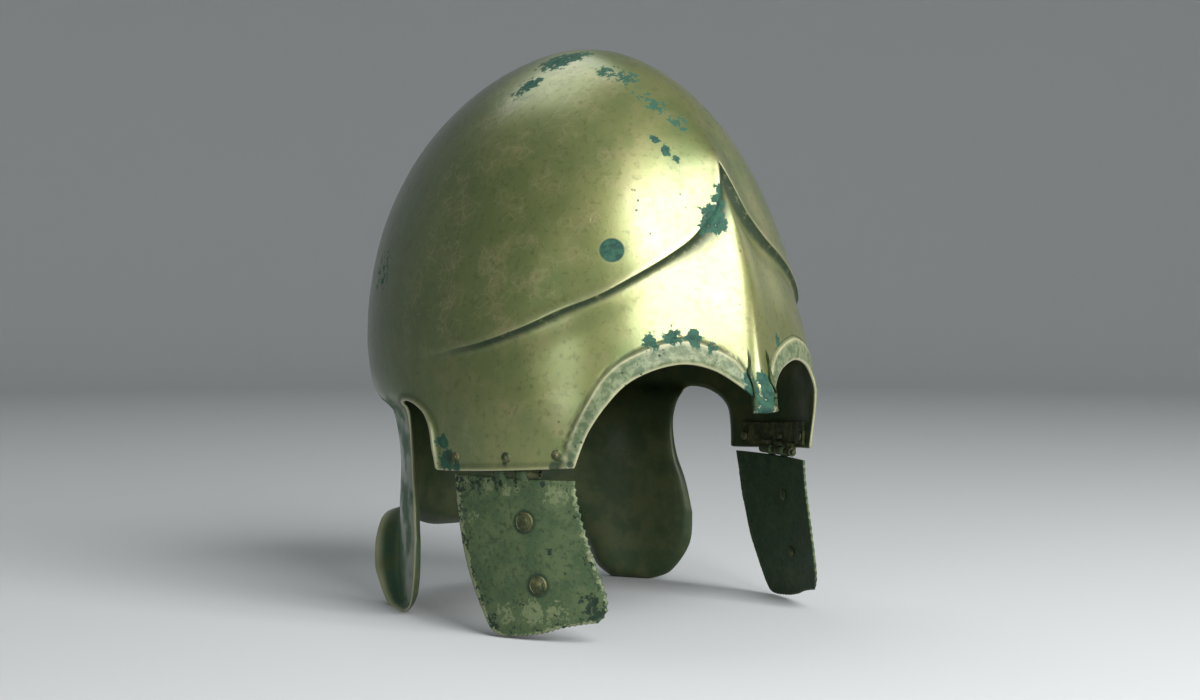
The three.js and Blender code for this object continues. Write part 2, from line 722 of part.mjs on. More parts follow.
// Pieces of one side, made on the wearer's left
const sidePieces = {
  hinge_leaf: [leafGeometry(), darkBronze],
  hinge_pin: [pinGeometry(), darkBronze],
  cheek_piece: [cheekGeometry(), greenBronze]
}
tabRivets.forEach((place, i) => {
  sidePieces[`tab_rivet_${i + 1}`] = [tabRivetGeometry(place), bronze]
})
cheekRivets.forEach((place, i) => {
  sidePieces[`cheek_rivet_${i + 1}`] = [cheekRivetGeometry(place), greenBronze]
})

const helmet = new THREE.Group()
helmet.add(pieceOf('bowl', bowlWithHoles(), bronze))
for (const [name, [geometry, material]] of Object.entries(sidePieces)) {
  helmet.add(pieceOf(`${name}_left`, geometry, material))
  helmet.add(pieceOf(`${name}_right`, onRight(geometry), material))
}

export default helmet
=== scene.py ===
# A bronze helmet with two hinged cheek-pieces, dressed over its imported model.
# The tables are in millimetres and degrees from the face; Blender works in metres.
import math

import bpy
import numpy as np
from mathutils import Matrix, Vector, noise


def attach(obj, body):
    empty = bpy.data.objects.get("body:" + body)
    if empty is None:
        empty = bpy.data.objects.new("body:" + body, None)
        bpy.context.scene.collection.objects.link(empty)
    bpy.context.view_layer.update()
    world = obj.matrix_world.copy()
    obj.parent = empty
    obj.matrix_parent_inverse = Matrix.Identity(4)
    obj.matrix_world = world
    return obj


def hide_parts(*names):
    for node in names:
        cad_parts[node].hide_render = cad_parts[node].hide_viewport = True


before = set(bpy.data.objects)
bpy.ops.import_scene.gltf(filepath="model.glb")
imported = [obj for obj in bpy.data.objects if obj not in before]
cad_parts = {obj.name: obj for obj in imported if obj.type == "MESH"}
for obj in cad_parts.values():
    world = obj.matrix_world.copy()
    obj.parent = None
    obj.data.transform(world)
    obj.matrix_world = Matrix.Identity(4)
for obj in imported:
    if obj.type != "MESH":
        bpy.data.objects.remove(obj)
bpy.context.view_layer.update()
millimetre = 0.001
print("frame loaded")


# Reading the tables, and small sums on lists of points

def smoothRead(xs, ys, at):  # a curve through the table that never overshoots it
    xs, ys = np.asarray(xs, float), np.asarray(ys, float)
    at = np.clip(at, xs[0], xs[-1])
    step = np.diff(xs)
    slope = np.diff(ys) / step
    before, after = 2 * step[1:] + step[:-1], step[1:] + 2 * step[:-1]
    same = slope[:-1] * slope[1:] > 0
    first, second = np.where(same, slope[:-1], 1), np.where(same, slope[1:], 1)
    between = np.where(same, (before + after) / (before / first + after / second), 0)
    tangent = np.concatenate([slope[:1], between, slope[-1:]])
    i = np.clip(np.searchsorted(xs, at, side="right") - 1, 0, len(xs) - 2)
    t = (at - xs[i]) / step[i]
    return ((1 + 2 * t) * (1 - t) ** 2 * ys[i] + t * (1 - t) ** 2 * step[i] * tangent[i]
            + t ** 2 * (3 - 2 * t) * ys[i + 1] + t ** 2 * (t - 1) * step[i] * tangent[i + 1])


def splinePoints(rows, steps):  # a smooth line through rows, at even shares of the row number
    rows = np.asarray(rows, float)
    at = np.linspace(0, len(rows) - 1, steps + 1)
    i = np.minimum(at.astype(int), len(rows) - 2)
    t = (at - i)[:, None]
    p0, p1 = rows[np.maximum(i - 1, 0)], rows[i]
    p2, p3 = rows[i + 1], rows[np.minimum(i + 2, len(rows) - 1)]
    v0, v1 = (p2 - p0) / 2, (p3 - p1) / 2
    return (2 * p1 - 2 * p2 + v0 + v1) * t ** 3 + (3 * p2 - 3 * p1 - 2 * v0 - v1) * t ** 2 + v0 * t + p1


def smoothStep(value, low, high):
    t = np.clip((value - low) / (high - low), 0, 1)
    return t * t * (3 - 2 * t)


def hump(value, middle, width):
    return np.exp(-((value - middle) / width) ** 2)


def unit(vectors):
    return vectors / np.maximum(np.linalg.norm(vectors, axis=-1, keepdims=True), 1e-9)


def walkedAlong(path):  # how far along the path each of its points is
    return np.concatenate([[0], np.cumsum(np.linalg.norm(np.diff(path, axis=0), axis=1))])


# The bowl

bowl = {
    "crownHeight": 275, "shoulderHeight": 128, "crownSetBack": 16, "middleToOrigin": -9.8,
    "wall": 1.4, "sheetWidthPerDegree": 1.7,
    # Over the shoulder: the size there, then how it falls and how round it closes to the crown
    "halfWidth": (97.6, 1.75, 1.8), "front": (102.6, 2.13, 2.3), "back": (131.2, 2.4, 1.6),
    "brow": {
        "z": (60, 78, 96, 108, 118, 128),
        "halfWidth": (97, 97.5, 98.2, 98.4, 98.2, 97.6),
        "reach": (109, 108.6, 108.4, 107.2, 104.2, 102.6),
        "power": (2.15, 2.15, 2.15, 2.15, 2.12, 2.08)},
    "neck": {
        "z": (-5, 8, 25, 45, 70, 87, 95, 100.5, 103, 107, 116, 128),
        "halfWidth": (87, 89, 90.2, 90.2, 89.6, 91, 92.8, 95, 97, 98.2, 98.1, 97.6),
        "reach": (102, 103.5, 104, 104, 103.5, 105, 106, 109, 117.5, 122, 127.2, 131.2)},
    "browToNeck": (92, 110),
    "keel": {"proud": 4.5, "spread": 8, "full": 215, "gone": 245},
    "ridge": {
        "deg": (0, 1.5, 3, 6, 11, 16, 22.5, 34, 43, 53.5, 64.5, 77, 87.5, 95.5, 106, 180),
        "z": (217, 211, 205, 195.5, 187.5, 180.5, 174, 163.5, 155.5, 148.5, 140.5, 133.5, 129.5, 126.5,
              124.8, 124.5),
        "lip": (3.2, 3.2, 3.2, 3.1, 3, 2.9, 2.8, 2.6, 2.4, 2.2, 2, 1.5, 1, 0.4, 0, 0)},
    "ridgeSection": {  # below the ridge line, and how far out as a share of its lip
        "below": (-16, -8, -4, -1.5, -0.5, 0, 0.5, 1.2, 2.4, 3.8, 6, 14, 30),
        "share": (0, 0.07, 0.18, 0.32, 0.36, 0.32, 0.08, -0.2, -0.56, -0.78, -0.74, -0.32, 0)},
    "lipShare": 0.75, "lipDepthShare": 0.36,
    "band": {"deg": (0, 4, 9, 21, 36, 48, 52), "width": (3, 4, 8.5, 10.5, 9.5, 6.5, 5.5)},
    "bandEnd": 53, "widthPastBand": 5,
    "relief": {"bandProud": 0.7, "bevelDeep": 0.75, "bevelWidth": 2.4, "lineDeep": 0.4, "lineGap": 1,
               "lineWidth": 0.45, "noseKeel": 0.9, "noseKeelDeg": 0.9, "noseKeelFull": 108,
               "noseKeelGone": 165},
    "dent": {"deep": 0.35, "size": 34, "fineDeep": 0.07, "fineSize": 9},
    "rows": {  # of the mesh: where they lie from the edge, from the top of the band and from the ridge
        "onEdge": (0.5, 1, 1.6, 2.3, 3.1), "onBand": 4, "narrowBand": 4.5, "shortOfBand": 0.8,
        "closest": 0.05, "leastBand": 4.1,
        "overBand": (-0.4, 0, 0.4, 0.8, 1.2, 1.7, 2.4, 3.6, 5.4, 7.6, 10),
        "middle": 20, "leastMiddle": 6,
        "underRidge": (14, 10, 7.5, 5.5, 4, 3, 2.3, 1.8, 1.4, 1.1, 0.85, 0.6, 0.35, 0.1),
        "overRidge": (0.15, 0.5, 1, 1.7, 2.6, 4, 6, 8.5), "dome": 33,
        "insideFirst": (1, 3, 5, 8, 11, 15), "insideFrom": 19, "insideStep": 2},
    "edgeRound": {"in": 0.4, "turn": 0.12}, "insideWear": 0.3
}

# Stretches of the lower edge of one half: steps, then rows of deg, z, top, flare, depth and lead.
# Top is the degree where its column meets the ridge, flare how far the edge turns out, depth how
# high the turn reaches, and lead how far the column runs square to the edge.
edge = {
    "noseFoot": (8, [(0, 101.2, 0, 0, 6, 3), (3.7, 101.6, 3, 0, 6, 1)]),
    "eyeArch": (62, [
        (3.7, 101.6, 3, 0, 6, 1), (2.9, 106.5, 5, 0, 6, 1), (5.2, 112.5, 8, 0, 6, 2),
        (12, 120.6, 14, 0, 6, 8), (21.2, 124, 22, 0, 6, 9), (31.1, 120.5, 31, 0, 6, 9),
        (39.7, 112, 39, 0, 6, 9), (47.5, 96, 46, 0, 6, 8), (52, 78.3, 51, 0, 6, 3)]),
    "tabFoot": (26, [
        (52, 78.3, 51, 0, 6, 3), (65, 76.7, 61, 0, 6, 9), (78, 75.1, 71, 0, 6, 9),
        (91.7, 73.5, 80, 1.5, 6, 3)]),
    "earOpening": (58, [
        (91.7, 73.5, 80, 1.5, 6, 3), (92.3, 84, 85, 2.5, 7, 7), (93.6, 95.5, 91, 2.3, 7, 7),
        (98, 103.3, 98, 1.6, 7, 6), (104, 104.4, 105, 0.8, 7, 6), (108, 97.5, 111.5, 0.8, 7, 6),
        (109.3, 84, 116.5, 1.8, 8, 8), (108.2, 69, 120.5, 2.8, 8, 9), (105.5, 54, 123.5, 3, 8, 9),
        (103.5, 37, 126, 3, 8, 9)]),
    "lobe": (22, [
        (103.5, 37, 126, 3, 8, 9), (104.4, 20, 128, 3.5, 9, 9), (110, 5.5, 130.5, 4, 11, 9),
        (118.5, 0, 132.5, 4, 12, 9)]),
    "foot": (8, [(118.5, 0, 132.5, 4, 12, 9), (129, 0, 136.5, 7, 13, 9)]),
    "nape": (48, [
        (129, 0, 136.5, 7, 13, 9), (134.5, 6, 138.5, 10.5, 15, 9), (138, 17, 141, 14, 16, 9),
        (142.5, 30, 144.5, 15, 16, 9), (148.5, 41, 149.5, 14.5, 16, 9), (156, 43, 156, 13, 16, 9),
        (164, 37.5, 164, 13, 16, 9), (172, 33, 172, 13, 16, 9), (180, 32, 180, 13, 16, 9)])
}
flaredStretches = ("earOpening", "lobe", "foot", "nape")
archStretches = ("noseFoot", "eyeArch")


def signedPower(value, power):
    return np.sign(value) * np.abs(value) ** power


def skinPoints(deg, z):  # the plain skin, without ridge, band or turned edges
    up = np.clip((z - bowl["shoulderHeight"]) / (bowl["crownHeight"] - bowl["shoulderHeight"]), 0, 1)
    facing, across = np.cos(np.radians(deg)), np.sin(np.radians(deg))
    low = z < bowl["shoulderHeight"]

    def closing(key):
        size, fall, roundness = bowl[key]
        return size * (1 - up ** fall) ** (1 / roundness)

    brow, neck = bowl["brow"], bowl["neck"]
    towardsNeck = smoothStep(np.abs(deg), *bowl["browToNeck"])
    browWidth = smoothRead(brow["z"], brow["halfWidth"], z)
    neckWidth = smoothRead(neck["z"], neck["halfWidth"], z)
    halfWidth = np.where(low, browWidth + (neckWidth - browWidth) * towardsNeck, closing("halfWidth"))
    front = np.where(low, smoothRead(brow["z"], brow["reach"], z), closing("front"))
    back = np.where(low, smoothRead(neck["z"], neck["reach"], z), closing("back"))
    frontOverBrow = 2 + 0.08 * (1 - np.minimum(1, 4 * up))  # rounder towards the crown
    frontPower = np.where(low, smoothRead(brow["z"], brow["power"], z), frontOverBrow)
    backPower = np.where(low, 2.2, 2 + 0.2 * (1 - up))
    power = np.where(facing > 0, frontPower, backPower)
    keel = bowl["keel"]
    keelHere = keel["proud"] * (1 - smoothStep(z, keel["full"], keel["gone"]))
    x = halfWidth * signedPower(across, 2 / power)
    y = bowl["crownSetBack"] * up - np.where(facing > 0, front, back) * signedPower(facing, 2 / power)
    y = y - keelHere * np.exp(-((deg / keel["spread"]) ** 2)) + bowl["middleToOrigin"]
    return np.stack([x, y, z + 0 * x], -1)


def levelOutward(deg, z):
    along = skinPoints(deg + 0.5, z) - skinPoints(deg - 0.5, z)
    return unit(np.stack([along[..., 1], -along[..., 0], 0 * deg], -1))


def edgeLine():  # columns deg, z, top, flare, depth, lead, and the stretch of each sample
    rows, names = [], []
    for name, (steps, knots) in edge.items():
        knots = np.asarray(knots, float)
        placed = splinePoints(knots[:, :2], steps)
        at = np.linspace(0, len(knots) - 1, steps + 1)
        rest = np.stack([np.interp(at, np.arange(len(knots)), knots[:, c]) for c in range(2, 6)], 1)
        stretch = np.hstack([placed, rest])[1 if rows else 0:]
        rows.append(stretch)
        names += [name] * len(stretch)
    line = np.concatenate(rows)
    line[:, 1] = np.maximum(line[:, 1], 0)
    return line, np.array(names)


def flatPlace(deg, z):
    return np.stack([deg * bowl["sheetWidthPerDegree"], z], -1)


def inwardDirections(flat):  # square to the edge, turned gradually round its corners
    mirroredFirst = flat[1] * [-1, 1]
    mirroredLast = np.array([2 * flat[-1, 0] - flat[-2, 0], flat[-2, 1]])
    padded = np.vstack([mirroredFirst, flat, mirroredLast])
    along = unit(padded[2:] - padded[:-2])
    square = np.stack([-along[:, 1], along[:, 0]], 1)
    place = walkedAlong(flat)
    reach = np.interp(flat[:, 0], [0, 14, 20], [1, 1.5, 5])
    weight = np.exp(-((place[:, None] - place[None, :]) / reach[:, None]) ** 2)
    return unit(weight @ square)


def nearestOn(line, points):  # distance to a polyline, and the number along it of the nearest place
    starts, ends = line[:-1], line[1:]
    run = ends - starts
    length = np.maximum((run ** 2).sum(1), 1e-9)
    offset = points[:, None, :] - starts[None]
    share = np.clip((offset * run).sum(2) / length, 0, 1)
    gap = np.linalg.norm(offset - share[..., None] * run, axis=2)
    best = gap.argmin(1)
    rows = np.arange(len(points))
    return gap[rows, best], best + share[rows, best]


def ribDistances(bandWidth, length):  # from the edge up to the ridge line
    rows = bowl["rows"]
    onEdge = np.array(rows["onEdge"])
    if bandWidth > rows["narrowBand"]:
        onBand = np.linspace(onEdge[-1], bandWidth - rows["shortOfBand"], rows["onBand"] + 1)[1:]
    else:
        onBand = onEdge[-1] + rows["closest"] * np.arange(1, rows["onBand"] + 1)
    overBand = max(bandWidth, rows["leastBand"]) + np.array(rows["overBand"])
    near = np.concatenate([onEdge, onBand, overBand])
    underRidge = np.array(rows["underRidge"])
    squeeze = min(1, length / (near[-1] + underRidge[0] + rows["leastMiddle"]))
    middle = np.linspace(near[-1] * squeeze, length - underRidge[0] * squeeze, rows["middle"] + 2)[1:-1]
    return np.concatenate([near * squeeze, middle, length - underRidge * squeeze])


def edgeToRidge(start, inward, lead, top):  # a curve that leaves square to the edge and arrives upright
    share = np.linspace(0, 1, 80)[:, None]
    span = np.linalg.norm(top - start)
    leave = start + inward * min(lead, 0.35 * span)
    arrive = top - [0, 0.42 * span]
    return ((1 - share) ** 3 * start + 3 * share * (1 - share) ** 2 * leave
            + 3 * share ** 2 * (1 - share) * arrive + share ** 3 * top)


def sheetGrid(line):  # places on the flat sheet, a column for each edge sample, edge to crown
    rows = bowl["rows"]
    flat = flatPlace(line[:, 0], line[:, 1])
    inward = inwardDirections(flat)
    topZ = smoothRead(bowl["ridge"]["deg"], bowl["ridge"]["z"], line[:, 2])
    top = flatPlace(line[:, 2], topZ)
    band = np.interp(line[:, 0], bowl["band"]["deg"], bowl["band"]["width"])
    bandWidth = np.where(line[:, 0] < bowl["bandEnd"], band, bowl["widthPastBand"])
    overRidge = np.array(rows["overRidge"])
    turns = np.arange(1, rows["dome"] + 1) / (rows["dome"] + 1) * np.pi / 2
    columns = []
    for i in range(len(line)):
        path = edgeToRidge(flat[i], inward[i], line[i, 5], top[i])
        walked = walkedAlong(path)
        distances = np.concatenate([[0], ribDistances(bandWidth[i], walked[-1])])
        below = np.stack([np.interp(distances, walked, path[:, c]) for c in (0, 1)], 1)
        start = topZ[i] + overRidge[-1]
        rise = start + (bowl["crownHeight"] - start) * np.sin(turns)
        aboveZ = np.concatenate([topZ[i] + overRidge, rise])
        above = np.stack([np.full(len(aboveZ), top[i, 0]), aboveZ], 1)
        columns.append(np.vstack([below, above]))
    return np.array(columns)


def flareOut(points, line, flat, flared):  # how far the lower edge turns outward
    gap, place = nearestOn(flat[flared], points)
    number = np.arange(flared.sum())
    flare = np.interp(place, number, line[flared, 3])
    depth = np.interp(place, number, line[flared, 4])
    whole = np.maximum(0, 1 - gap / depth)
    lipTurn = np.maximum(0, 1 - gap / (depth * bowl["lipDepthShare"]))
    return flare * ((1 - bowl["lipShare"]) * whole ** 2 + bowl["lipShare"] * lipTurn ** 2)


def eyeBand(points, line, flat, arch):  # distance to the eye arch, and the band's width there
    gap, place = nearestOn(flat[arch], points)
    deg = np.interp(place, np.arange(arch.sum()), line[arch, 0])
    return gap, np.interp(deg, bowl["band"]["deg"], bowl["band"]["width"])


def bandOut(gap, width):  # the band stands proud, with a bevelled edge and a line cut beside it
    relief = bowl["relief"]
    raised = relief["bandProud"] * (1 - smoothStep(gap, width - 0.3, width + 0.4))
    bevel = relief["bevelDeep"] * (1 - smoothStep(gap, 0, np.minimum(relief["bevelWidth"], 0.5 * width)))
    cut = relief["lineDeep"] * hump(gap, width + relief["lineGap"], relief["lineWidth"])
    return raised - bevel - cut * smoothStep(width, 4, 6)


def belowRidge(points, deg):  # millimetres below the ridge line, less than 0 above it
    ridge = bowl["ridge"]
    ridgeDeg = np.concatenate([np.linspace(-6, 6, 49), np.linspace(6.5, 180, 240)])
    ridgeLine = flatPlace(ridgeDeg, smoothRead(ridge["deg"], ridge["z"], np.abs(ridgeDeg)))
    gap, _ = nearestOn(ridgeLine, points)
    return np.where(points[:, 1] < smoothRead(ridge["deg"], ridge["z"], deg), gap, -gap)


def noseKeelOut(deg, z):
    relief = bowl["relief"]
    fade = 1 - smoothStep(z, relief["noseKeelFull"], relief["noseKeelGone"])
    return relief["noseKeel"] * hump(deg, 0, relief["noseKeelDeg"]) * fade


wearAndShade = {  # millimetres, or degrees where the name says so: where each mark lies and how strong it is
    # shadow sets the width of the shade painted under the ridge, wider towards the apex
    "shadow": 4.2, "apexShadow": 5, "apexDeg": (4, 30), "shadowFade": (0.35, 1.2),
    "besideBand": 0.9, "besideBandAt": (1.1, 0.7), "bandFrom": 4.2,
    "behindEdge": 0.5, "behindEdgeAt": (2.6, 1.2), "clearOfArch": 8,
    "edgeFade": (0.3, 1.5), "keel": 0.8, "keelDeg": 1, "keelFade": (110, 150),
    "lip": 0.5, "lipAt": (-1, 1.2), "bandLip": 0.9, "bandLipAt": (-0.4, 0.7),
    "oliveDeg": (66, 118), "crustDeg": (104, 118), "crustFade": (96, 112),
    "crackleDeg": (30, 48), "crackleEndDeg": (92, 110)
}


def wearAndShadeMarks(deg, z, edgeGap, archGap, width, below, lipShare):  # how strong each mark is, 0 to 1
    # Painted shade: a dark band under the ridge's overhang, widest near the apex.
    shadow = wearAndShade["shadow"] + wearAndShade["apexShadow"] * (1 - smoothStep(deg, *wearAndShade["apexDeg"]))
    nearest, furthest = wearAndShade["shadowFade"]
    underRidge = smoothStep(below, -0.2, 0.3) * (1 - smoothStep(below, nearest * shadow, furthest * shadow))
    # Painted shade in the cut line beside the band.
    gap, spread = wearAndShade["besideBandAt"]
    besideBand = wearAndShade["besideBand"] * hump(archGap, width + gap, spread) * (width > wearAndShade["bandFrom"])
    # A dark line 2.6 mm in from the lower edge, away from the eye arch.
    behindEdge = wearAndShade["behindEdge"] * hump(edgeGap, *wearAndShade["behindEdgeAt"]) * (archGap > wearAndShade["clearOfArch"])
    # Partly real wear and partly painted highlight: paler along the lower edge, the ridge's lip, the nose
    # keel and the band's edge.
    edgeWearAndGlint = 1 - smoothStep(edgeGap, *wearAndShade["edgeFade"])
    keelWearAndGlint = wearAndShade["keel"] * hump(deg, 0, wearAndShade["keelDeg"]) * (1 - smoothStep(z, *wearAndShade["keelFade"]))
    lipWearAndGlint = wearAndShade["lip"] * hump(below, *wearAndShade["lipAt"]) * lipShare
    gap, spread = wearAndShade["bandLipAt"]
    bandWearAndGlint = wearAndShade["bandLip"] * hump(archGap, width + gap, spread)
    sides = smoothStep(deg, *wearAndShade["crackleDeg"]) * (1 - smoothStep(deg, *wearAndShade["crackleEndDeg"]))
    return {
        # painted shade under the ridge and in the cut line, with the dark line along the lower edge
        "groove": np.maximum.reduce([underRidge * np.minimum(1, 2 * lipShare), besideBand, behindEdge]),
        # partly real wear, partly painted highlight along edges and ridges
        "worn": np.maximum.reduce([edgeWearAndGlint, lipWearAndGlint, keelWearAndGlint, bandWearAndGlint]),
        "band": 1 - smoothStep(archGap, width - 0.2, width + 0.5),
        # partly olive patina and partly painted shade: darker towards the sides and back
        "olive": smoothStep(deg, *wearAndShade["oliveDeg"]),
        "verdigris": smoothStep(deg, *wearAndShade["crustDeg"]) * (1 - smoothStep(z, *wearAndShade["crustFade"])),
        "crackle": sides * (below < 0)
    }


def workedSurface(places, line, stretches):  # millimetre points of the outside, and its marks
    deg, z = places[..., 0] / bowl["sheetWidthPerDegree"], places[..., 1]
    points = places.reshape(-1, 2)
    flatDeg = points[:, 0] / bowl["sheetWidthPerDegree"]
    flat = flatPlace(line[:, 0], line[:, 1])
    archGap, width = eyeBand(points, line, flat, np.isin(stretches, archStretches))
    below = belowRidge(points, flatDeg)
    lips, section = bowl["ridge"]["lip"], bowl["ridgeSection"]
    lip = smoothRead(bowl["ridge"]["deg"], lips, flatDeg)
    out = flareOut(points, line, flat, np.isin(stretches, flaredStretches)) + bandOut(archGap, width)
    out = out + lip * smoothRead(section["below"], section["share"], below)
    out = out + noseKeelOut(flatDeg, points[:, 1])
    surface = skinPoints(deg, z) + levelOutward(deg, z) * out.reshape(deg.shape)[..., None]
    edgeGap, _ = nearestOn(flat, points)
    marks = wearAndShadeMarks(flatDeg, points[:, 1], edgeGap, archGap, width, below, lip / max(lips))
    return surface, {name: values.reshape(deg.shape) for name, values in marks.items()}


def bothHalves(half):  # the half and its mirror image, as one ring of columns
    mirrored = half[-2:0:-1].copy()
    if half.ndim == 3:
        mirrored[..., 0] *= -1
    return np.concatenate([half, mirrored])


def dented(points):
    dent = bowl["dent"]
    flat = points.reshape(-1, 3)
    depths = [dent["deep"] * noise.noise(Vector(p) / dent["size"])
              + dent["fineDeep"] * noise.noise(Vector(p) / dent["fineSize"]) for p in flat]
    axis = np.array([0, bowl["crownSetBack"] + bowl["middleToOrigin"], 60])
    return points + (unit(flat - axis) * np.array(depths)[:, None]).reshape(points.shape)


def gridNormals(points):  # of a ring of columns, outward
    along = np.roll(points, -1, 0) - np.roll(points, 1, 0)
    upward = np.gradient(points, axis=1)
    return unit(np.cross(along, upward))


def ringFaces(first, second, columns):  # quads between two rings of vertices
    here = np.arange(columns)
    beyond = (here + 1) % columns
    return np.stack([first + here, first + beyond, second + beyond, second + here], 1)


def meshObject(name, vertices, faces, marks, material):
    mesh = bpy.data.meshes.new(name)
    mesh.from_pydata((np.asarray(vertices) * millimetre).tolist(), [], [list(map(int, f)) for f in faces])
    mesh.polygons.foreach_set("use_smooth", [True] * len(mesh.polygons))
    for key, values in marks.items():
        layer = mesh.attributes.new(key, "FLOAT", "POINT")
        layer.data.foreach_set("value", np.asarray(values, np.float32))
    mesh.materials.append(material)
    mesh.update()
    made = bpy.data.objects.new(name, mesh)
    bpy.context.scene.collection.objects.link(made)
    return made


def bowlRings(points, normals, outsideRows, insideRows):  # crown down the outside, and up the inside
    wall, turn = bowl["wall"], bowl["edgeRound"]["turn"]
    rim, nextToRim = points[:, 0], points[:, 1]
    rounded = rim * (1 - bowl["edgeRound"]["in"]) + nextToRim * bowl["edgeRound"]["in"]
    rings = [points[:, row] for row in outsideRows]
    rings += [rounded - normals[:, 0] * turn * wall, rim - normals[:, 0] * wall / 2,
              rounded - normals[:, 0] * (1 - turn) * wall]
    return rings + [points[:, row] - normals[:, row] * wall for row in insideRows]


def makeBowl(material):
    line, stretches = edgeLine()
    surface, marks = workedSurface(sheetGrid(line), line, stretches)
    points = dented(bothHalves(surface))
    columns, rowCount = points.shape[:2]
    rows = bowl["rows"]
    outsideRows = range(rowCount - 1, 0, -1)
    furtherRows = np.arange(rows["insideFrom"], rowCount, rows["insideStep"])
    insideRows = np.concatenate([rows["insideFirst"], furtherRows])
    rings = bowlRings(points, gridNormals(points), outsideRows, insideRows)
    count = len(rings)
    layers = {}
    for name, values in marks.items():
        whole = bothHalves(values)
        layers[name] = [whole[:, row] for row in outsideRows] + [whole[:, 0]] * 3
        layers[name] += [whole[:, row] * bowl["insideWear"] for row in insideRows]
    # Painted shade: the rows up the inside are marked for a dark tone.
    layers["inside"] = [np.full(columns, float(i > len(outsideRows) + 1)) for i in range(count)]
    values = {name: np.concatenate(parts + [[0, float(name == "inside")]]) for name, parts in layers.items()}
    crown = np.array([0, bowl["crownSetBack"] + bowl["middleToOrigin"], bowl["crownHeight"]])
    vertices = np.concatenate(rings + [[crown, crown - [0, 0, bowl["wall"]]]])
    vertices[:, 2] = np.clip(vertices[:, 2], 0, bowl["crownHeight"])
    faces = [ringFaces((i + 1) * columns, i * columns, columns) for i in range(count - 1)]
    here = np.arange(columns)
    beyond = (here + 1) % columns
    last = (count - 1) * columns
    outerCap, innerCap = count * columns, count * columns + 1
    fans = [(a, b, outerCap) for a, b in zip(here, beyond)]
    fans += [(last + b, last + a, innerCap) for a, b in zip(here, beyond)]
    return meshObject("bronzeBowl", vertices, list(np.concatenate(faces)) + fans, values, material)


# Materials: small helpers first, then a function for each finish

def addNode(tree, kind, inputs=None, **settings):
    node = tree.nodes.new(kind)
    for key, value in settings.items():
        setattr(node, key, value)
    for key, value in (inputs or {}).items():
        if isinstance(value, bpy.types.NodeSocket):
            tree.links.new(value, node.inputs[key])
        else:
            node.inputs[key].default_value = value
    return node


def shade(value):  # three numbers become an opaque colour, and a socket stays as it is
    return value if isinstance(value, bpy.types.NodeSocket) else (*value, 1)


def mixed(tree, amount, first, second):
    inputs = {0: amount, 6: shade(first), 7: shade(second)}
    return addNode(tree, "ShaderNodeMix", inputs, data_type="RGBA").outputs[2]


def combined(tree, operation, first, second):
    return addNode(tree, "ShaderNodeMath", {0: first, 1: second}, operation=operation).outputs[0]


def times(tree, first, second):
    return combined(tree, "MULTIPLY", first, second)


def plus(tree, first, second):
    return combined(tree, "ADD", first, second)


def minus(tree, first, second):
    return combined(tree, "SUBTRACT", first, second)


def most(tree, first, *others):  # the strongest of them
    for other in others:
        first = combined(tree, "MAXIMUM", first, other)
    return first


def over(tree, base, tone, amount, share):  # a tone laid over the base, at a share of the amount
    return mixed(tree, times(tree, amount, share), base, tone)


def between(tree, value, low, high):  # 0 at low, 1 at high
    made = addNode(tree, "ShaderNodeMapRange", {0: value, 1: low, 2: high}, interpolation_type="SMOOTHSTEP")
    return made.outputs[0]


def mottle(tree, place, size, detail=4, roughness=0.55):  # size of a patch in millimetres
    inputs = {"Vector": place, "Scale": 1 / (size * millimetre), "Detail": detail, "Roughness": roughness}
    return addNode(tree, "ShaderNodeTexNoise", inputs).outputs[0]


def mark(tree, name):
    return addNode(tree, "ShaderNodeAttribute", attribute_name=name).outputs["Fac"]


def startMaterial(name):
    material = bpy.data.materials.new(name)
    material.use_nodes = True
    tree = material.node_tree
    tree.nodes.clear()
    place = addNode(tree, "ShaderNodeTexCoord").outputs["Object"]
    return material, tree, place


def endMaterial(tree, base, metallic, rough, height, bumpDepth, specular=0.4, coat=None, coatRough=0.24):
    bump = addNode(tree, "ShaderNodeBump", {"Height": height, "Distance": bumpDepth * millimetre})
    bump.inputs["Strength"].default_value = 1.0
    shader = addNode(tree, "ShaderNodeBsdfPrincipled", {
        "Base Color": base, "Metallic": metallic, "Roughness": rough, "Normal": bump.outputs[0]})
    shader.inputs["Specular IOR Level"].default_value = specular
    shader.inputs["Coat Roughness"].default_value = coatRough
    if coat is not None:
        tree.links.new(coat, shader.inputs["Coat Weight"])
    addNode(tree, "ShaderNodeOutputMaterial", {0: shader.outputs[0]})


def broken(tree, amount, grain, low=0.4, high=0.6, raggedness=3.4):  # a soft patch with a ragged outline
    uneven = times(tree, minus(tree, grain, 0.5), raggedness)
    ragged = between(tree, plus(tree, amount, uneven), low, high)
    return times(tree, ragged, between(tree, amount, 0.02, 0.3))


def spots(tree, place, rows, soft):  # round marks: rows of x, y, z, radius and strength in millimetres
    parts = []
    for x, y, z, radius, strength in rows:
        middle = (x * millimetre, y * millimetre, z * millimetre)
        away = addNode(tree, "ShaderNodeVectorMath", {0: place, 1: middle}, operation="DISTANCE")
        outer, inner = radius * (1 + soft) * millimetre, radius * (1 - soft) * millimetre
        parts.append(times(tree, between(tree, away.outputs["Value"], outer, inner), strength))
    return most(tree, *parts)


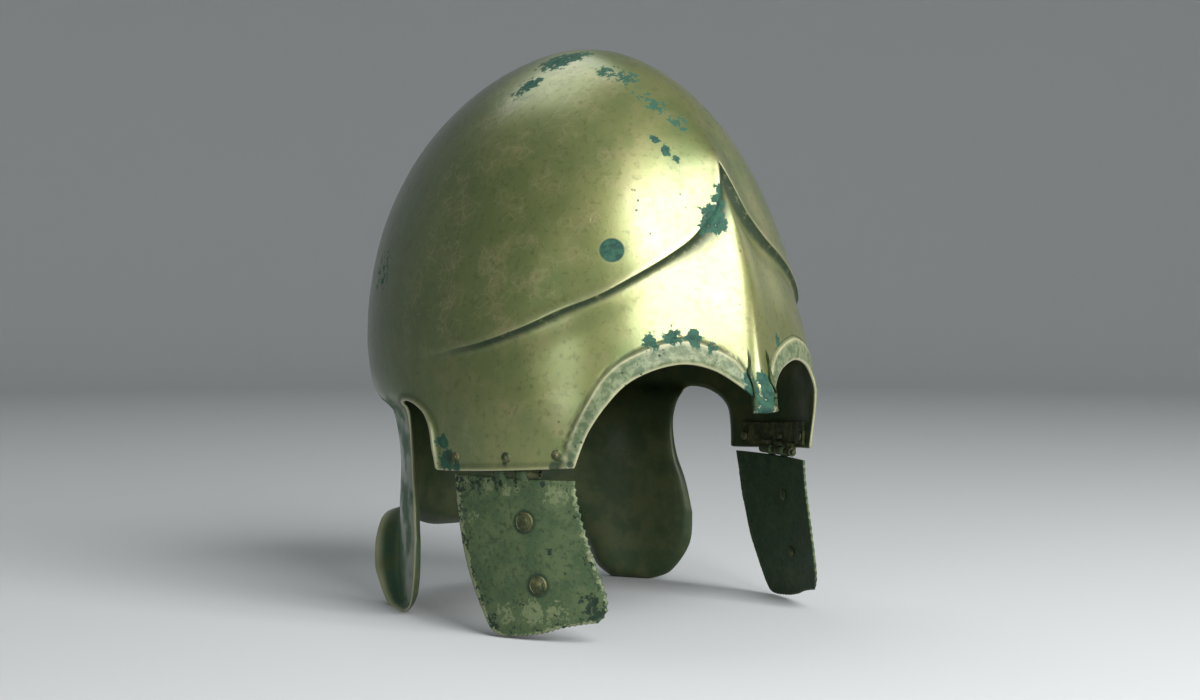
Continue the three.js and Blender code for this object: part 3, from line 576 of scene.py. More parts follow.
# Stains on the bowl: deg, z, radius, strength, with the wearer's right below 0 degrees
stains = {
    "disc": [(-39.5, 175, 5.7, 1)],
    "patina": [
        (-72, 267, 9, 1), (-58, 269.5, 7, 0.9), (-79.5, 255, 6, 0.9), (-84, 250, 4, 0.7),
        (-7.5, 190, 6.5, 1.1), (-4.6, 197, 4, 1.1), (-3, 203, 3, 1), (-11, 186, 4, 0.9),
        (-21.5, 226, 2.4, 1), (-18.5, 221, 2.8, 1), (-15, 217, 2, 0.8),
        (-89, 79, 5, 1), (-90, 87, 4, 0.9), (-86, 77, 3, 0.8),
        (-3.2, 112, 4, 1.1), (-2.6, 106, 4, 1.1), (0, 104, 5, 1.3), (0.5, 110, 4.5, 1.3), (0.5, 116, 4, 1.2),
        (-4, 117, 3, 1), (3, 107, 4, 0.9),
        (-18, 135.5, 4, 0.9), (-24, 136.5, 4, 1), (-30, 134, 4, 0.8), (-13, 131, 3, 0.8), (11, 134, 3, 1),
        (-34, 260, 6, 0.7), (-24, 257, 6, 0.7), (-14, 243, 6, 0.62), (-8, 235, 6, 0.6), (-20, 248, 5, 0.6),
        (150, 200, 12, 0.45), (172, 90, 10, 0.6), (120, 180, 9, 0.4), (75, 150, 8, 0.4), (30, 240, 8, 0.5),
        (-140, 150, 14, 0.4), (-165, 230, 12, 0.42), (-118, 165, 10, 0.4)],
    "pit": [
        (-57.3, 78.5, 2.6, 0.9), (-53, 80, 1.6, 0.9), (-71, 79.5, 1.2, 0.9), (-88, 80.5, 3, 0.8),
        (-12, 125.5, 0.8, 1), (-17, 128, 0.6, 1), (-22, 128.6, 0.7, 1), (-28, 128, 0.9, 1),
        (-34, 124, 0.6, 1), (-38, 120.5, 0.8, 1), (-42, 115, 0.6, 1), (-46, 105, 0.8, 1),
        (-48.7, 97, 0.7, 1), (-50, 90, 0.7, 0.9), (-33, 120, 0.5, 0.9), (-25, 126, 0.6, 0.9),
        (-9, 122, 0.7, 0.9)]
}


bronzeLook = {  # tones, some from one to another, and how much of each shows at most
    "brass": ((0.23, 0.245, 0.088), (0.15, 0.187, 0.064)),
    "tan": (0.31, 0.275, 0.13), "tanShare": 0.6,
    "fleck": (0.085, 0.095, 0.03), "fleckShare": 0.5,
    # dark olive: partly patina, partly painted shade towards the sides and back
    "olive": ((0.035, 0.072, 0.02), (0.10, 0.145, 0.045)), "oliveShare": 0.9,
    "crackle": (0.33, 0.34, 0.155), "crackleShare": 0.3, "crackleScale": 190,
    "verdigris": ((0.016, 0.06, 0.036), (0.04, 0.11, 0.06)), "verdigrisReach": 0.62, "verdigrisShare": 0.85,
    "verdigrisDull": 0.8,
    "band": ((0.15, 0.18, 0.115), (0.045, 0.08, 0.045)), "bandShare": 0.75, "bandDull": 0.75,
    # pale tone: partly real wear, partly painted highlight along edges and ridges
    "worn": (0.52, 0.49, 0.30), "wornShare": 0.6,
    # painted shade under the ridge and in the cut line beside the band, and the dark line along the lower
    # edge
    "groove": (0.010, 0.022, 0.009), "grooveShare": 0.96,
    "patina": ((0.006, 0.038, 0.028), (0.022, 0.078, 0.048)),
    "pit": (0.02, 0.035, 0.018), "pitShare": 0.7, "pitScale": 240,
    # painted shade: a dark tone over the inner face, which is also made duller
    "inside": ((0.022, 0.045, 0.016), (0.06, 0.075, 0.026)), "insideShare": 0.9, "insideDull": 0.6,
    "metallic": 0.66, "metallicLoss": 0.58, "rough": 0.27, "roughFine": 0.16, "roughGain": 0.42,
    "specular": 0.35, "coat": 0.8, "bump": 0.12
}


def onSkin(deg, z):
    return skinPoints(np.array(float(deg)), np.array(float(z)))


def stainMarks(tree, place, key, soft):
    rows = [(*onSkin(deg, z), radius, strength) for deg, z, radius, strength in stains[key]]
    return spots(tree, place, rows, soft)


def crackleLines(tree, place, cloudy):  # a net of fine cracks over the sides of the dome
    noiseInputs = {"Vector": place, "Scale": 120, "Detail": 4}
    warp = addNode(tree, "ShaderNodeTexNoise", noiseInputs).outputs["Color"]
    shift = addNode(tree, "ShaderNodeVectorMath", {0: warp, "Scale": 0.006}, operation="SCALE")
    warped = addNode(tree, "ShaderNodeVectorMath", {0: place, 1: shift.outputs[0]}, operation="ADD")
    inputs = {"Vector": warped.outputs[0], "Scale": bronzeLook["crackleScale"]}
    cells = addNode(tree, "ShaderNodeTexVoronoi", inputs, feature="DISTANCE_TO_EDGE")
    network = times(tree, between(tree, cells.outputs["Distance"], 0.11, 0.0), mark(tree, "crackle"))
    return times(tree, network, between(tree, cloudy, 0.42, 0.6))


def pitMarks(tree, place, cloudy, fine):  # the large pits one by one, and fine ones where they gather
    inputs = {"Vector": place, "Scale": bronzeLook["pitScale"]}
    cells = addNode(tree, "ShaderNodeTexVoronoi", inputs).outputs["Distance"]
    onBand = times(tree, mark(tree, "band"), between(tree, fine, 0.42, 0.5))
    gathered = most(tree, between(tree, cloudy, 0.55, 0.68), onBand)
    specks = times(tree, between(tree, cells, 0.2, 0.1), gathered)
    return most(tree, stainMarks(tree, place, "pit", 0.3), times(tree, specks, bronzeLook["pitShare"]))


def bronzeMaterial():
    look = bronzeLook
    material, tree, place = startMaterial("agedBronze")
    broad = mottle(tree, place, 60, 3)
    cloudy = mottle(tree, place, 16, 5, 0.6)
    fine = mottle(tree, place, 3.2, 6, 0.65)
    grit = mottle(tree, place, 0.9, 4, 0.7)
    band, inside = mark(tree, "band"), mark(tree, "inside")
    network = crackleLines(tree, place, cloudy)
    green = broken(tree, times(tree, mark(tree, "verdigris"), look["verdigrisReach"]), cloudy, 0.3, 0.95)
    # painted shade, broken by fine noise
    shadeAmount = times(tree, mark(tree, "groove"), between(tree, fine, 0.1, 0.46))
    disc = stainMarks(tree, place, "disc", 0.08)
    patina = most(tree, broken(tree, stainMarks(tree, place, "patina", 0.7), fine), disc)
    pits = pitMarks(tree, place, cloudy, fine)
    oliveAndShadeTone = mixed(tree, cloudy, *look["olive"])
    verdigrisTone = mixed(tree, fine, *look["verdigris"])
    bandTone = mixed(tree, between(tree, fine, 0.4, 0.56), *look["band"])
    patinaTone = mixed(tree, between(tree, fine, 0.4, 0.6), *look["patina"])
    innerShadeTone = mixed(tree, between(tree, cloudy, 0.4, 0.65), *look["inside"])
    base = mixed(tree, between(tree, broad, 0.38, 0.62), *look["brass"])
    base = over(tree, base, look["tan"], between(tree, cloudy, 0.45, 0.75), look["tanShare"])
    base = over(tree, base, look["fleck"], between(tree, fine, 0.5, 0.7), look["fleckShare"])
    # Partly olive patina and partly painted shade, darker and greener towards the sides and back.
    base = over(tree, base, oliveAndShadeTone, mark(tree, "olive"), look["oliveShare"])
    base = over(tree, base, look["crackle"], network, look["crackleShare"])
    base = over(tree, base, verdigrisTone, green, look["verdigrisShare"])
    base = over(tree, base, bandTone, band, look["bandShare"])
    # partly real wear and partly painted highlight along edges and ridges
    base = over(tree, base, look["worn"], mark(tree, "worn"), look["wornShare"])
    # painted shade laid over the colour
    base = over(tree, base, look["groove"], shadeAmount, look["grooveShare"])
    base = mixed(tree, patina, base, patinaTone)
    base = mixed(tree, pits, base, look["pit"])
    # painted shade over the inner face
    base = over(tree, base, innerShadeTone, inside, look["insideShare"])
    dullInnerShade, dullBand = times(tree, inside, look["insideDull"]), times(tree, band, look["bandDull"])
    dull = most(tree, patina, pits, dullInnerShade, dullBand, times(tree, green, look["verdigrisDull"]), shadeAmount)
    metallic = minus(tree, look["metallic"], times(tree, dull, look["metallicLoss"]))
    rough = plus(tree, look["rough"], times(tree, fine, look["roughFine"]))
    rough = plus(tree, rough, times(tree, dull, look["roughGain"]))
    height = plus(tree, times(tree, fine, 0.5), times(tree, grit, 0.25))
    height = minus(tree, height, times(tree, pits, 1.2))
    height = plus(tree, height, times(tree, network, 0.2))
    coat = times(tree, minus(tree, 1, dull), look["coat"])
    endMaterial(tree, base, metallic, rough, height, look["bump"], look["specular"], coat)
    return material


cheekLook = {
    "green": ((0.042, 0.078, 0.032), (0.074, 0.108, 0.046)),
    "dust": (0.10, 0.13, 0.056), "dustShare": 0.7,
    "blotch": (0.022, 0.04, 0.018), "blotchShare": 0.75,
    "pale": (0.17, 0.205, 0.10), "paleShare": 0.75,
    "border": (0.21, 0.24, 0.13), "borderShare": 0.8,
    "crust": (0.010, 0.026, 0.012),
    # painted shade in rings round the rivets
    "groove": (0.012, 0.03, 0.015), "grooveShare": 0.9,
    # painted shade: a near-black tone for the back of the plate
    "inside": ((0.008, 0.02, 0.008), (0.028, 0.06, 0.022)), "insideShare": 0.85,
    "metallic": 0.45, "rough": 0.5, "roughFine": 0.2, "bump": 0.16
}


def cheekMaterial():
    look = cheekLook
    material, tree, place = startMaterial("greenBronze")
    cloudy = mottle(tree, place, 11, 5, 0.6)
    fine = mottle(tree, place, 2.6, 6, 0.7)
    grit = mottle(tree, place, 0.8, 4, 0.7)
    blotch = mottle(tree, place, 2.2, 5, 0.65)
    crust = broken(tree, mark(tree, "crust"), blotch, 0.5, 0.85)
    base = mixed(tree, between(tree, cloudy, 0.38, 0.62), *look["green"])
    base = over(tree, base, look["dust"], between(tree, fine, 0.48, 0.66), look["dustShare"])
    base = over(tree, base, look["blotch"], between(tree, blotch, 0.5, 0.66), look["blotchShare"])
    base = over(tree, base, look["pale"], broken(tree, mark(tree, "pale"), blotch), look["paleShare"])
    base = over(tree, base, look["border"], broken(tree, mark(tree, "border"), fine), look["borderShare"])
    base = mixed(tree, crust, base, look["crust"])
    # painted shade round the rivets
    base = over(tree, base, look["groove"], mark(tree, "groove"), look["grooveShare"])
    # painted shade on the back of the plate, and partly on its rim
    base = over(tree, base, mixed(tree, cloudy, *look["inside"]), mark(tree, "inside"), look["insideShare"])
    metallic = times(tree, between(tree, fine, 0.35, 0.7), look["metallic"])
    rough = plus(tree, look["rough"], times(tree, fine, look["roughFine"]))
    height = plus(tree, times(tree, fine, 0.9), times(tree, grit, 0.4))
    height = minus(tree, height, times(tree, crust, 0.5))
    endMaterial(tree, base, metallic, rough, height, look["bump"])
    return material


def hingeMaterial():
    material, tree, place = startMaterial("darkBronze")
    cloudy = mottle(tree, place, 5, 5, 0.6)
    fine = mottle(tree, place, 1.4, 5, 0.7)
    base = mixed(tree, between(tree, cloudy, 0.4, 0.65), (0.045, 0.06, 0.028), (0.13, 0.13, 0.06))
    rough = plus(tree, 0.42, times(tree, fine, 0.25))
    endMaterial(tree, base, between(tree, fine, 0.2, 0.7), rough, fine, 0.1)
    return material


bronze = bronzeMaterial()
greenBronze = cheekMaterial()
darkBronze = hingeMaterial()
bowlPiece = makeBowl(bronze)
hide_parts("bowl")
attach(bowlPiece, "helmet")
print("bowl made", len(bowlPiece.data.polygons))


# The hinges and the cheek-pieces: along the pin, out of the head, and below the pin

hinge = {"deg": 70.5, "z": 75, "inset": 5, "knuckleRadius": 2.3, "bore": 1.35, "pitch": 6, "width": 5.6}
cheek = {
    "thick": 1.3, "curve": 150, "tilt": 0.03, "across": 84, "down": 190,
    "tooth": 3.8, "toothDepth": 0.9, "footTooth": 2.6, "footToothDepth": 0.5, "nick": 0.35, "nickLength": 2.2,
    "wave": 0.28, "waveLength": 16, "rimRound": 0.22, "rimInnerShade": 0.4, "knuckleCrust": 0.3,
    "rear": [(-34.2, 2.8), (-30.5, 25), (-25, 44.4), (-18.6, 58), (-12.5, 68.5), (-8, 73), (-2, 73.9)],
    "foot": [(-2, 73.9), (9, 73), (18.5, 71), (26, 68.6), (34, 66.8), (42.5, 65.2)],
    "front": [(31, 2.8), (32.2, 9), (34.2, 18), (37, 27), (40.2, 36), (44, 46), (46.6, 54), (46.4, 61),
              (42.5, 65.2)],
    "rivets": [(7, 22), (14.5, 50)],
    "crust": [  # along, below, radius, strength
        (-31, 7, 6, 0.8), (-20, 6, 6, 0.75), (-8, 6, 5, 0.75), (4, 5, 4, 0.7), (16, 5, 3, 0.6),
        (26, 5, 3, 0.6),
        (41, 57, 6, 1), (43, 62, 5, 1), (37, 62, 5, 0.6), (-9, 69, 5, 0.8), (2, 71, 4, 0.6), (14, 70, 4, 0.5),
        (25, 66, 5, 0.55), (-15, 60, 5, 0.6), (-20, 52, 4, 0.6), (-27, 32, 5, 0.7), (-30, 20, 5, 0.7),
        (19.5, 34, 2.4, 0.75), (27, 45, 3, 0.4), (38, 38, 4, 0.5), (33, 20, 3, 0.45), (6, 60, 7, 0.4)],
    "pale": [
        (-27, 5, 3, 0.9), (-13, 6, 4, 1), (-3, 8, 3, 0.9), (3, 7, 2, 0.8), (22, 7, 8, 0.6), (12, 62, 7, 0.7),
        (-2, 64, 6, 0.6), (24, 62, 7, 0.6), (-22, 22, 4, 0.5)]
}


def hingeFrame(side):
    deg, z = np.array(float(hinge["deg"])), np.array(float(hinge["z"]))
    out = levelOutward(deg, z)
    forward = np.array([out[1], -out[0], 0])
    origin = skinPoints(deg, z) - out * hinge["inset"]
    mirror = np.array([side, 1, 1])
    return origin * mirror, forward * mirror, out * mirror, np.array([0, 0, 1.0])


def onHinge(points, side):  # along the pin, out of the head, up
    origin, forward, out, up = hingeFrame(side)
    points = np.asarray(points, float)
    return origin + points[..., :1] * forward + points[..., 1:2] * out + points[..., 2:] * up


def evenly(line, count):
    walked = walkedAlong(line)
    at = np.linspace(0, walked[-1], count)
    return np.stack([np.interp(at, walked, line[:, c]) for c in (0, 1)], 1), at


def toothedLine(rows, count, pitch, depth, side):  # each tooth rises slowly and drops back
    line, walked = evenly(splinePoints(rows, 200), count)
    along = unit(np.gradient(line, axis=0))
    square = np.stack([along[:, 1], -along[:, 0]], 1) * side
    teeth = round(walked[-1] / pitch)
    phase = (walked / walked[-1] * teeth) % 1
    bump = np.sin(np.pi * phase ** 1.5) ** 0.7
    fade = np.clip(np.minimum(walked, walked[-1] - walked) / pitch, 0, 1)
    return line + square * (depth * bump * fade)[:, None]


def nickedLine(rows, count):
    line, walked = evenly(splinePoints(rows, 200), count)
    nicks = [noise.noise(Vector((w / cheek["nickLength"], 3.1, 0))) for w in walked]
    inward = cheek["nick"] * np.array(nicks)
    fade = np.clip(np.minimum(walked, walked[-1] - walked) / 5, 0, 1)
    return line + np.stack([inward * fade, 0 * inward], 1)


def cheekPatch():  # places along the pin and below it, rear to front and top to foot
    across, down = cheek["across"], cheek["down"]
    rear = nickedLine(cheek["rear"], down)
    front = toothedLine(cheek["front"], down, cheek["tooth"], cheek["toothDepth"], -1)
    foot = toothedLine(cheek["foot"], across, cheek["footTooth"], cheek["footToothDepth"], 1)
    foot[0], foot[-1] = rear[-1], front[-1]
    top = rear[0] + (front[0] - rear[0]) * np.linspace(0, 1, across)[:, None]
    u = np.linspace(0, 1, across)[:, None, None]
    v = np.linspace(0, 1, down)[None, :, None]
    corners = ((1 - u) * (1 - v) * rear[0] + u * (1 - v) * front[0]
               + (1 - u) * v * rear[-1] + u * v * front[-1])
    return (1 - v) * top[:, None] + v * foot[:, None] + (1 - u) * rear[None] + u * front[None] - corners


def nearRows(points, rows):  # strongest at the middle of each row's soft round patch
    total = np.zeros(points.shape[:-1])
    for along, below, radius, strength in rows:
        away = np.hypot(points[..., 0] - along, points[..., 1] - below)
        total = np.maximum(total, strength * (1 - smoothStep(away, 0.2 * radius, 1.6 * radius)))
    return total


def knuckleRoll(middle):  # a tongue of the plate rolled round the pin: closed cross-section along it
    thick = hinge["knuckleRadius"] - hinge["bore"]
    radius = (hinge["knuckleRadius"] + hinge["bore"]) / 2
    angles = np.radians(np.linspace(-35, 272, 36))
    turn = np.stack([radius * np.cos(angles), radius * np.sin(angles)], 1)
    path = np.vstack([[0, -6], [0, -4.2], [0.25, -3.1], [0.85, -2.1], turn])
    along = unit(np.gradient(path, axis=0))
    square = np.stack([-along[:, 1], along[:, 0]], 1) * thick / 2
    section = np.vstack([path + square, (path - square)[::-1]])
    count = len(section)
    ends = [middle - hinge["width"] / 2, middle + hinge["width"] / 2]
    points = np.concatenate([np.column_stack([np.full(count, x), section]) for x in ends])
    here = np.arange(count)
    beyond = (here + 1) % count
    faces = [(a, b, b + count, a + count) for a, b in zip(here, beyond)]
    half = count // 2
    for i in range(half - 1):
        j = count - 1 - i
        faces += [(i, j, j - 1, i + 1), (i + count, i + 1 + count, j - 1 + count, j + count)]
    return points, faces


def plateOut(along, below):  # how far the middle of the plate stands out: leaning, and curved across
    return cheek["tilt"] * below - along ** 2 / (2 * cheek["curve"])


def rimRing(across, down):  # the numbers of the patch's edge, once round
    top = [(i, 0) for i in range(across)]
    front = [(across - 1, j) for j in range(1, down)]
    foot = [(i, down - 1) for i in range(across - 2, -1, -1)]
    rear = [(0, j) for j in range(down - 2, 0, -1)]
    return top + front + foot + rear


def plateSheet(patch, ring):  # the plate's front, its back and a rounded rim between them
    along, below = patch[..., 0], patch[..., 1]
    length = cheek["waveLength"]
    waves = [noise.noise(Vector((a / length, b / length, 1.7))) for a, b in patch.reshape(-1, 2)]
    out = plateOut(along, below) + cheek["wave"] * np.array(waves).reshape(along.shape)
    half = cheek["thick"] / 2
    front = np.stack([along, out + half, -below], -1)
    back = np.stack([along, out - half, -below], -1)
    middle = patch.mean((0, 1))
    rim = []
    for i, j in ring:
        away = patch[i, j] - middle
        away = away / np.linalg.norm(away) * cheek["rimRound"]
        rim.append((along[i, j] + away[0], out[i, j], -(below[i, j] + away[1])))
    points = np.concatenate([front.reshape(-1, 3), back.reshape(-1, 3), np.array(rim)])
    size = along.size
    number = np.arange(size).reshape(along.shape)
    a, b, c, d = number[:-1, :-1], number[1:, :-1], number[1:, 1:], number[:-1, 1:]
    faces = np.stack([a, d, c, b], -1).reshape(-1, 4).tolist()
    faces += (np.stack([a, b, c, d], -1).reshape(-1, 4) + size).tolist()
    for n in range(len(ring)):
        after = (n + 1) % len(ring)
        p, q = number[ring[n]], number[ring[after]]
        m, m2 = 2 * size + n, 2 * size + after
        faces += [[p, q, m2, m], [m, m2, q + size, p + size]]
    return points, faces


def plateMarks(patch, ring):  # where each finish lies on the front, the back and the rim, 0 to 1
    along, below = patch[..., 0], patch[..., 1]

    def gapTo(line):
        return np.hypot(along - line[..., 0], below - line[..., 1])

    rearGap = gapTo(patch[:1])
    edgeGap = np.minimum.reduce([rearGap, gapTo(patch[-1:]), gapTo(patch[:, -1:])])
    rivetGap = np.minimum.reduce([np.hypot(along - x, below - y) for x, y in cheek["rivets"]])
    marks = {
        "border": np.maximum(hump(rearGap, 1.2, 1.6), 0.6 * hump(edgeGap, 0.6, 1.1)),
        # The first crust rows and the band 4 mm below the pin darken the plate along its top edge, just under
        # the tab.
        "crust": np.maximum.reduce([nearRows(patch, cheek["crust"]), 0.55 * hump(rearGap, 2.8, 1.6),
                                    0.5 * hump(below, 4, 2), 0.3 * hump(edgeGap, 2.2, 1.5)]),
        "pale": nearRows(patch, cheek["pale"]),
        # Painted shade: dark rings round each rivet, just outside its head and under it.
        "groove": np.maximum(hump(rivetGap, 5, 0.8), hump(rivetGap, 3, 0.6))
    }
    for key, values in marks.items():
        onRim = [values[place] for place in ring]
        marks[key] = np.concatenate([values.ravel(), values.ravel(), onRim])
    # Painted shade: the whole back of the plate is marked for a near-black tone, and the rim at a share of
    # it.
    marks["inside"] = np.repeat([0, 1, cheek["rimInnerShade"]], [along.size, along.size, len(ring)])
    return marks


def makeCheek(name, side):
    patch = cheekPatch()
    ring = rimRing(*patch.shape[:2])
    sheet, faces = plateSheet(patch, ring)
    parts = [sheet]
    count = len(sheet)
    for knuckle in (-1, 1):
        rolled, rolledFaces = knuckleRoll(knuckle * hinge["pitch"])
        faces += [[n + count for n in face] for face in rolledFaces]
        parts.append(rolled)
        count += len(rolled)
    marks = plateMarks(patch, ring)
    for key, values in marks.items():
        onKnuckles = np.full(count - len(sheet), cheek["knuckleCrust"] if key == "crust" else 0)
        marks[key] = np.concatenate([values, onKnuckles])
    if side > 0:
        faces = [face[::-1] for face in faces]
    return meshObject(name, onHinge(np.concatenate(parts), side), faces, marks, greenBronze)


for side, sideName in ((1, "left"), (-1, "right")):
    piece = makeCheek("cheekPlate_" + sideName, side)
    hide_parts("cheek_piece_" + sideName)
    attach(piece, "cheek_" + sideName)
for name in ("hinge_leaf_left", "hinge_leaf_right", "hinge_pin_left", "hinge_pin_right"):
    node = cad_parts[name]
    node.data.materials.clear()
    node.data.materials.append(darkBronze)
print("cheek-pieces made")


# The rivets, by Geometry Nodes

rivets = {
    "tab": {"headRadius": 2.6, "headHeight": 0.9, "ringRadius": 2.1, "ringThick": 0.12, "tailRadius": 2.2,
            "buttonRadius": 1.0, "grip": 4.0},
    "cheek": {"headRadius": 4.5, "headHeight": 0.6, "ringRadius": 3.9, "ringThick": 0.38, "tailRadius": 2.6,
              "buttonRadius": 1.9, "grip": 1.9},
    "tabPlaces": [(56.5, 84), (70.5, 82), (86, 80.5)],  # deg, z
    "shankRadius": 1.3, "proud": 0.05, "leastScale": 0.94, "mostScale": 1.05, "seed": 7
}


def lifted(tree, geometry, height):
    place = addNode(tree, "ShaderNodeCombineXYZ", {2: height}).outputs[0]
    return addNode(tree, "GeometryNodeTransform", {"Geometry": geometry, "Translation": place}).outputs[0]


def rivetDome(tree, radius, height, lift):
    ball = addNode(tree, "GeometryNodeMeshUVSphere", {"Segments": 28, "Rings": 14, "Radius": 1.0}).outputs[0]
    size = addNode(tree, "ShaderNodeCombineXYZ", {0: radius, 1: radius, 2: height}).outputs[0]
    dome = addNode(tree, "GeometryNodeTransform", {"Geometry": ball, "Scale": size}).outputs[0]
    return lifted(tree, dome, lift)


def rivetRing(tree, radius, thick, lift):
    line = addNode(tree, "GeometryNodeCurvePrimitiveCircle", {"Resolution": 32, "Radius": radius})
    section = addNode(tree, "GeometryNodeCurvePrimitiveCircle", {"Resolution": 8, "Radius": thick})
    ring = addNode(tree, "GeometryNodeCurveToMesh", {0: line.outputs[0], 1: section.outputs[0]})
    return lifted(tree, ring.outputs[0], lift)


def rivetShank(tree, grip):
    radius = rivets["shankRadius"] * millimetre
    rod = addNode(tree, "GeometryNodeMeshCylinder", {"Vertices": 16, "Radius": radius, "Depth": grip})
    return lifted(tree, rod.outputs[0], times(tree, grip, -0.5))


def rivetTree():
    tree = bpy.data.node_groups.new("rivetMaker", "GeometryNodeTree")
    tree.interface.new_socket("Points", in_out="INPUT", socket_type="NodeSocketGeometry")
    for name in rivets["tab"]:
        tree.interface.new_socket(name, in_out="INPUT", socket_type="NodeSocketFloat")
    tree.interface.new_socket("finish", in_out="INPUT", socket_type="NodeSocketMaterial")
    tree.interface.new_socket("Rivets", in_out="OUTPUT", socket_type="NodeSocketGeometry")
    given = addNode(tree, "NodeGroupInput").outputs
    height, grip = given["headHeight"], given["grip"]
    head = rivetDome(tree, given["headRadius"], height, 0.0)
    button = rivetDome(tree, given["buttonRadius"], times(tree, height, 0.7), times(tree, height, 0.75))
    tail = rivetDome(tree, given["tailRadius"], height, times(tree, grip, -1))
    ring = rivetRing(tree, given["ringRadius"], given["ringThick"], times(tree, height, 0.55))
    whole = addNode(tree, "GeometryNodeJoinGeometry")
    for part in (rivetShank(tree, grip), ring, button, tail, head):
        tree.links.new(part, whole.inputs[0])
    smooth = addNode(tree, "GeometryNodeSetShadeSmooth", {"Geometry": whole.outputs[0]})
    named = addNode(tree, "GeometryNodeInputNamedAttribute", {"Name": "direction"}, data_type="FLOAT_VECTOR")
    turned = addNode(tree, "FunctionNodeAlignRotationToVector", {"Vector": named.outputs[0]}, axis="Z")
    uneven = addNode(tree, "FunctionNodeRandomValue", {
        2: rivets["leastScale"], 3: rivets["mostScale"], "Seed": rivets["seed"]}, data_type="FLOAT")
    placed = addNode(tree, "GeometryNodeInstanceOnPoints", {
        "Points": given["Points"], "Instance": smooth.outputs[0], "Rotation": turned.outputs[0],
        "Scale": uneven.outputs[1]})
    real = addNode(tree, "GeometryNodeRealizeInstances", {0: placed.outputs[0]}).outputs[0]
    finished = addNode(tree, "GeometryNodeSetMaterial", {"Geometry": real, "Material": given["finish"]})
    addNode(tree, "NodeGroupOutput", {0: finished.outputs[0]})
    return tree


def makeRivets(name, places, directions, sizes, finish, tree):
    points = meshObject(name + "Points", places, [], {}, finish)
    layer = points.data.attributes.new("direction", "FLOAT_VECTOR", "POINT")
    layer.data.foreach_set("vector", np.asarray(directions, np.float32).ravel())
    modifier = points.modifiers.new("rivets", "NODES")
    modifier.node_group = tree
    sockets = [item for item in tree.interface.items_tree if item.in_out == "INPUT"]
    identifiers = {item.name: item.identifier for item in sockets}
    for key, value in sizes.items():
        modifier[identifiers[key]] = value * millimetre
    modifier[identifiers["finish"]] = finish
    depsgraph = bpy.context.evaluated_depsgraph_get()
    mesh = bpy.data.meshes.new_from_object(points.evaluated_get(depsgraph))
    points.modifiers.clear()
    bpy.data.objects.remove(points)
    made = bpy.data.objects.new(name, mesh)
    bpy.context.scene.collection.objects.link(made)
    return made


rivetNodes = rivetTree()
tabPlaces, tabDirections = [], []
for deg, z in rivets["tabPlaces"]:
    direction = levelOutward(np.array(float(deg)), np.array(float(z)))
    place = onSkin(deg, z) + direction * rivets["proud"]
    for side in (1, -1):
        tabPlaces.append(place * [side, 1, 1])
        tabDirections.append(direction * [side, 1, 1])
tabRivets = makeRivets("tabRivets", tabPlaces, tabDirections, rivets["tab"], darkBronze, rivetNodes)
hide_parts(*[f"tab_rivet_{n}_{side}" for n in (1, 2, 3) for side in ("left", "right")])
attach(tabRivets, "helmet")
for side, sideName in ((1, "left"), (-1, "right")):
    places, directions = [], []
    for along, below in cheek["rivets"]:
        out = plateOut(along, below) + cheek["thick"] / 2
        places.append(onHinge([along, out + rivets["proud"], -below], side))
        direction = onHinge([along / cheek["curve"], 1, cheek["tilt"]], side) - hingeFrame(side)[0]
        directions.append(unit(direction))
    name = "cheekRivets_" + sideName
    piece = makeRivets(name, places, directions, rivets["cheek"], darkBronze, rivetNodes)
    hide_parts("cheek_rivet_1_" + sideName, "cheek_rivet_2_" + sideName)
    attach(piece, "cheek_" + sideName)
print("rivets made")


# The floor, the lights and the camera, in metres

stageSet = {"radius": 3.2, "wallHeight": 4.5, "bend": 1.2, "turns": 96, "floorTone": (0.5, 0.515, 0.52),
            "roomTone": (0.8, 0.88, 0.95), "roomStrength": 0.16}
lampTarget = (0, 0, 0.13)
lights = [  # name, place, width, height, watts, colour
    ("keyLight", (-0.08, -1.3, 0.9), 1.15, 1.35, 50, (1, 1, 1)),
    ("topLight", (0.2, 0.9, 1.9), 1.2, 1.2, 8, (0.96, 1, 1)),
    ("sideFill", (1.8, -0.4, 0.9), 0.9, 0.9, 1.5, (1, 0.98, 0.94)),
    ("leftFill", (-1.9, -0.7, 0.5), 0.5, 0.9, 5, (0.9, 1, 0.95))
]
view = {"azimuth": -42.2, "elevation": 2.1, "distance": 1.0, "lens": 60.9, "sensor": 36,
        "target": (0, -0.0098, 0.127)}


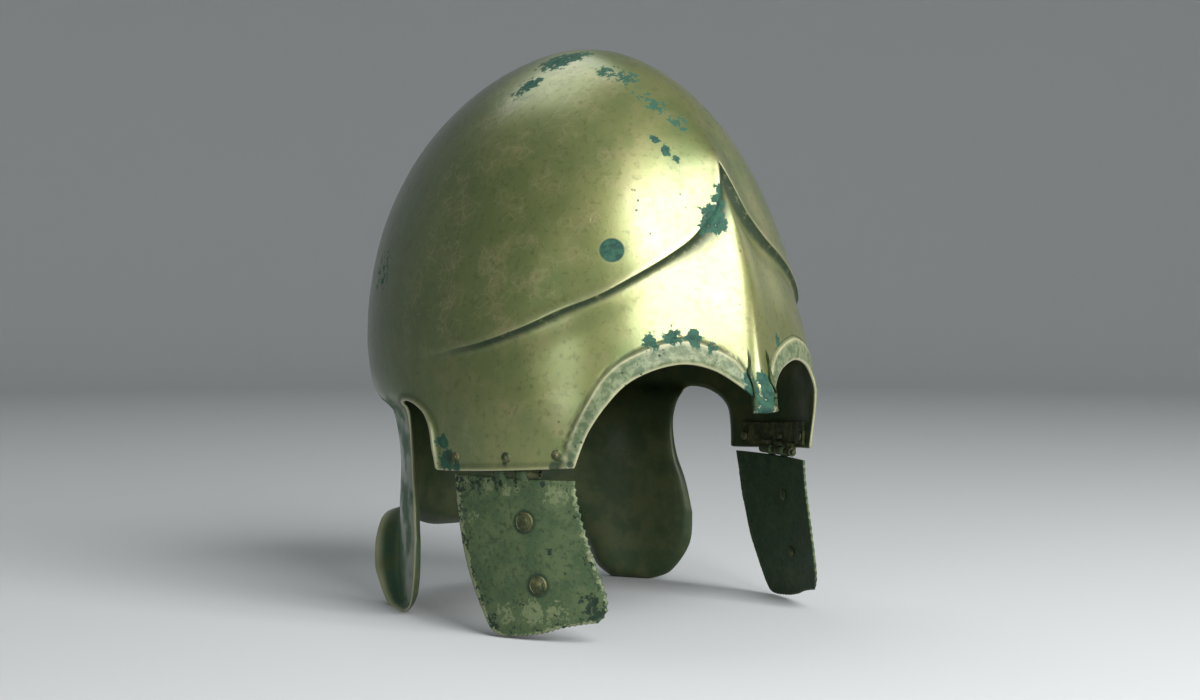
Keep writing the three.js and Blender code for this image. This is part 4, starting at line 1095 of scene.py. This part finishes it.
def makeStage():
    bend, turns = stageSet["bend"], stageSet["turns"]
    flatTo = stageSet["radius"] - bend
    profile = [(0.5, 0), (1.2, 0), (flatTo, 0)]
    for t in np.linspace(0.1, math.pi / 2, 14):
        profile.append((flatTo + bend * math.sin(t), bend - bend * math.cos(t)))
    profile.append((stageSet["radius"], stageSet["wallHeight"]))
    angles = np.linspace(0, 2 * math.pi, turns, endpoint=False)
    vertices = [(r * math.cos(a), r * math.sin(a), z) for r, z in profile for a in angles]
    vertices.append((0, 0, 0))
    middle = len(profile) * turns
    faces = []
    for i in range(len(profile) - 1):
        faces += ringFaces((i + 1) * turns, i * turns, turns).tolist()
    faces += [(n, (n + 1) % turns, middle) for n in range(turns)]
    mesh = bpy.data.meshes.new("paleFloor")
    mesh.from_pydata(vertices, [], faces)
    mesh.polygons.foreach_set("use_smooth", [True] * len(mesh.polygons))
    material = bpy.data.materials.new("paleFloor")
    material.use_nodes = True
    shader = material.node_tree.nodes["Principled BSDF"]
    shader.inputs["Base Color"].default_value = shade(stageSet["floorTone"])
    shader.inputs["Roughness"].default_value = 0.9
    shader.inputs["Specular IOR Level"].default_value = 0.1
    mesh.materials.append(material)
    floor = bpy.data.objects.new("paleFloor", mesh)
    bpy.context.scene.collection.objects.link(floor)


def pointAt(thing, place, target):
    thing.location = place
    thing.rotation_euler = (Vector(target) - Vector(place)).to_track_quat("-Z", "Y").to_euler()


def makeLights():
    for name, place, width, height, watts, tint in lights:
        light = bpy.data.lights.new(name, "AREA")
        light.shape, light.size, light.size_y = "RECTANGLE", width, height
        light.energy, light.color = watts, tint
        lamp = bpy.data.objects.new(name, light)
        bpy.context.scene.collection.objects.link(lamp)
        pointAt(lamp, place, lampTarget)
    world = bpy.data.worlds.new("softRoom")
    world.use_nodes = True
    background = world.node_tree.nodes["Background"]
    background.inputs["Color"].default_value = shade(stageSet["roomTone"])
    background.inputs["Strength"].default_value = stageSet["roomStrength"]
    bpy.context.scene.world = world
    bpy.context.scene.view_settings.view_transform = "Standard"


def makeCamera():
    azimuth, elevation = math.radians(view["azimuth"]), math.radians(view["elevation"])
    level = math.cos(elevation)
    back = Vector((math.sin(azimuth) * level, -math.cos(azimuth) * level, math.sin(elevation)))
    camera = bpy.data.objects.new("camera", bpy.data.cameras.new("camera"))
    camera.data.lens = view["lens"]
    camera.data.sensor_width = view["sensor"]
    camera.data.sensor_fit = "HORIZONTAL"
    bpy.context.scene.collection.objects.link(camera)
    pointAt(camera, Vector(view["target"]) + back * view["distance"], view["target"])
    bpy.context.scene.camera = camera


makeStage()
makeLights()
makeCamera()
print("stage, lights and camera set")
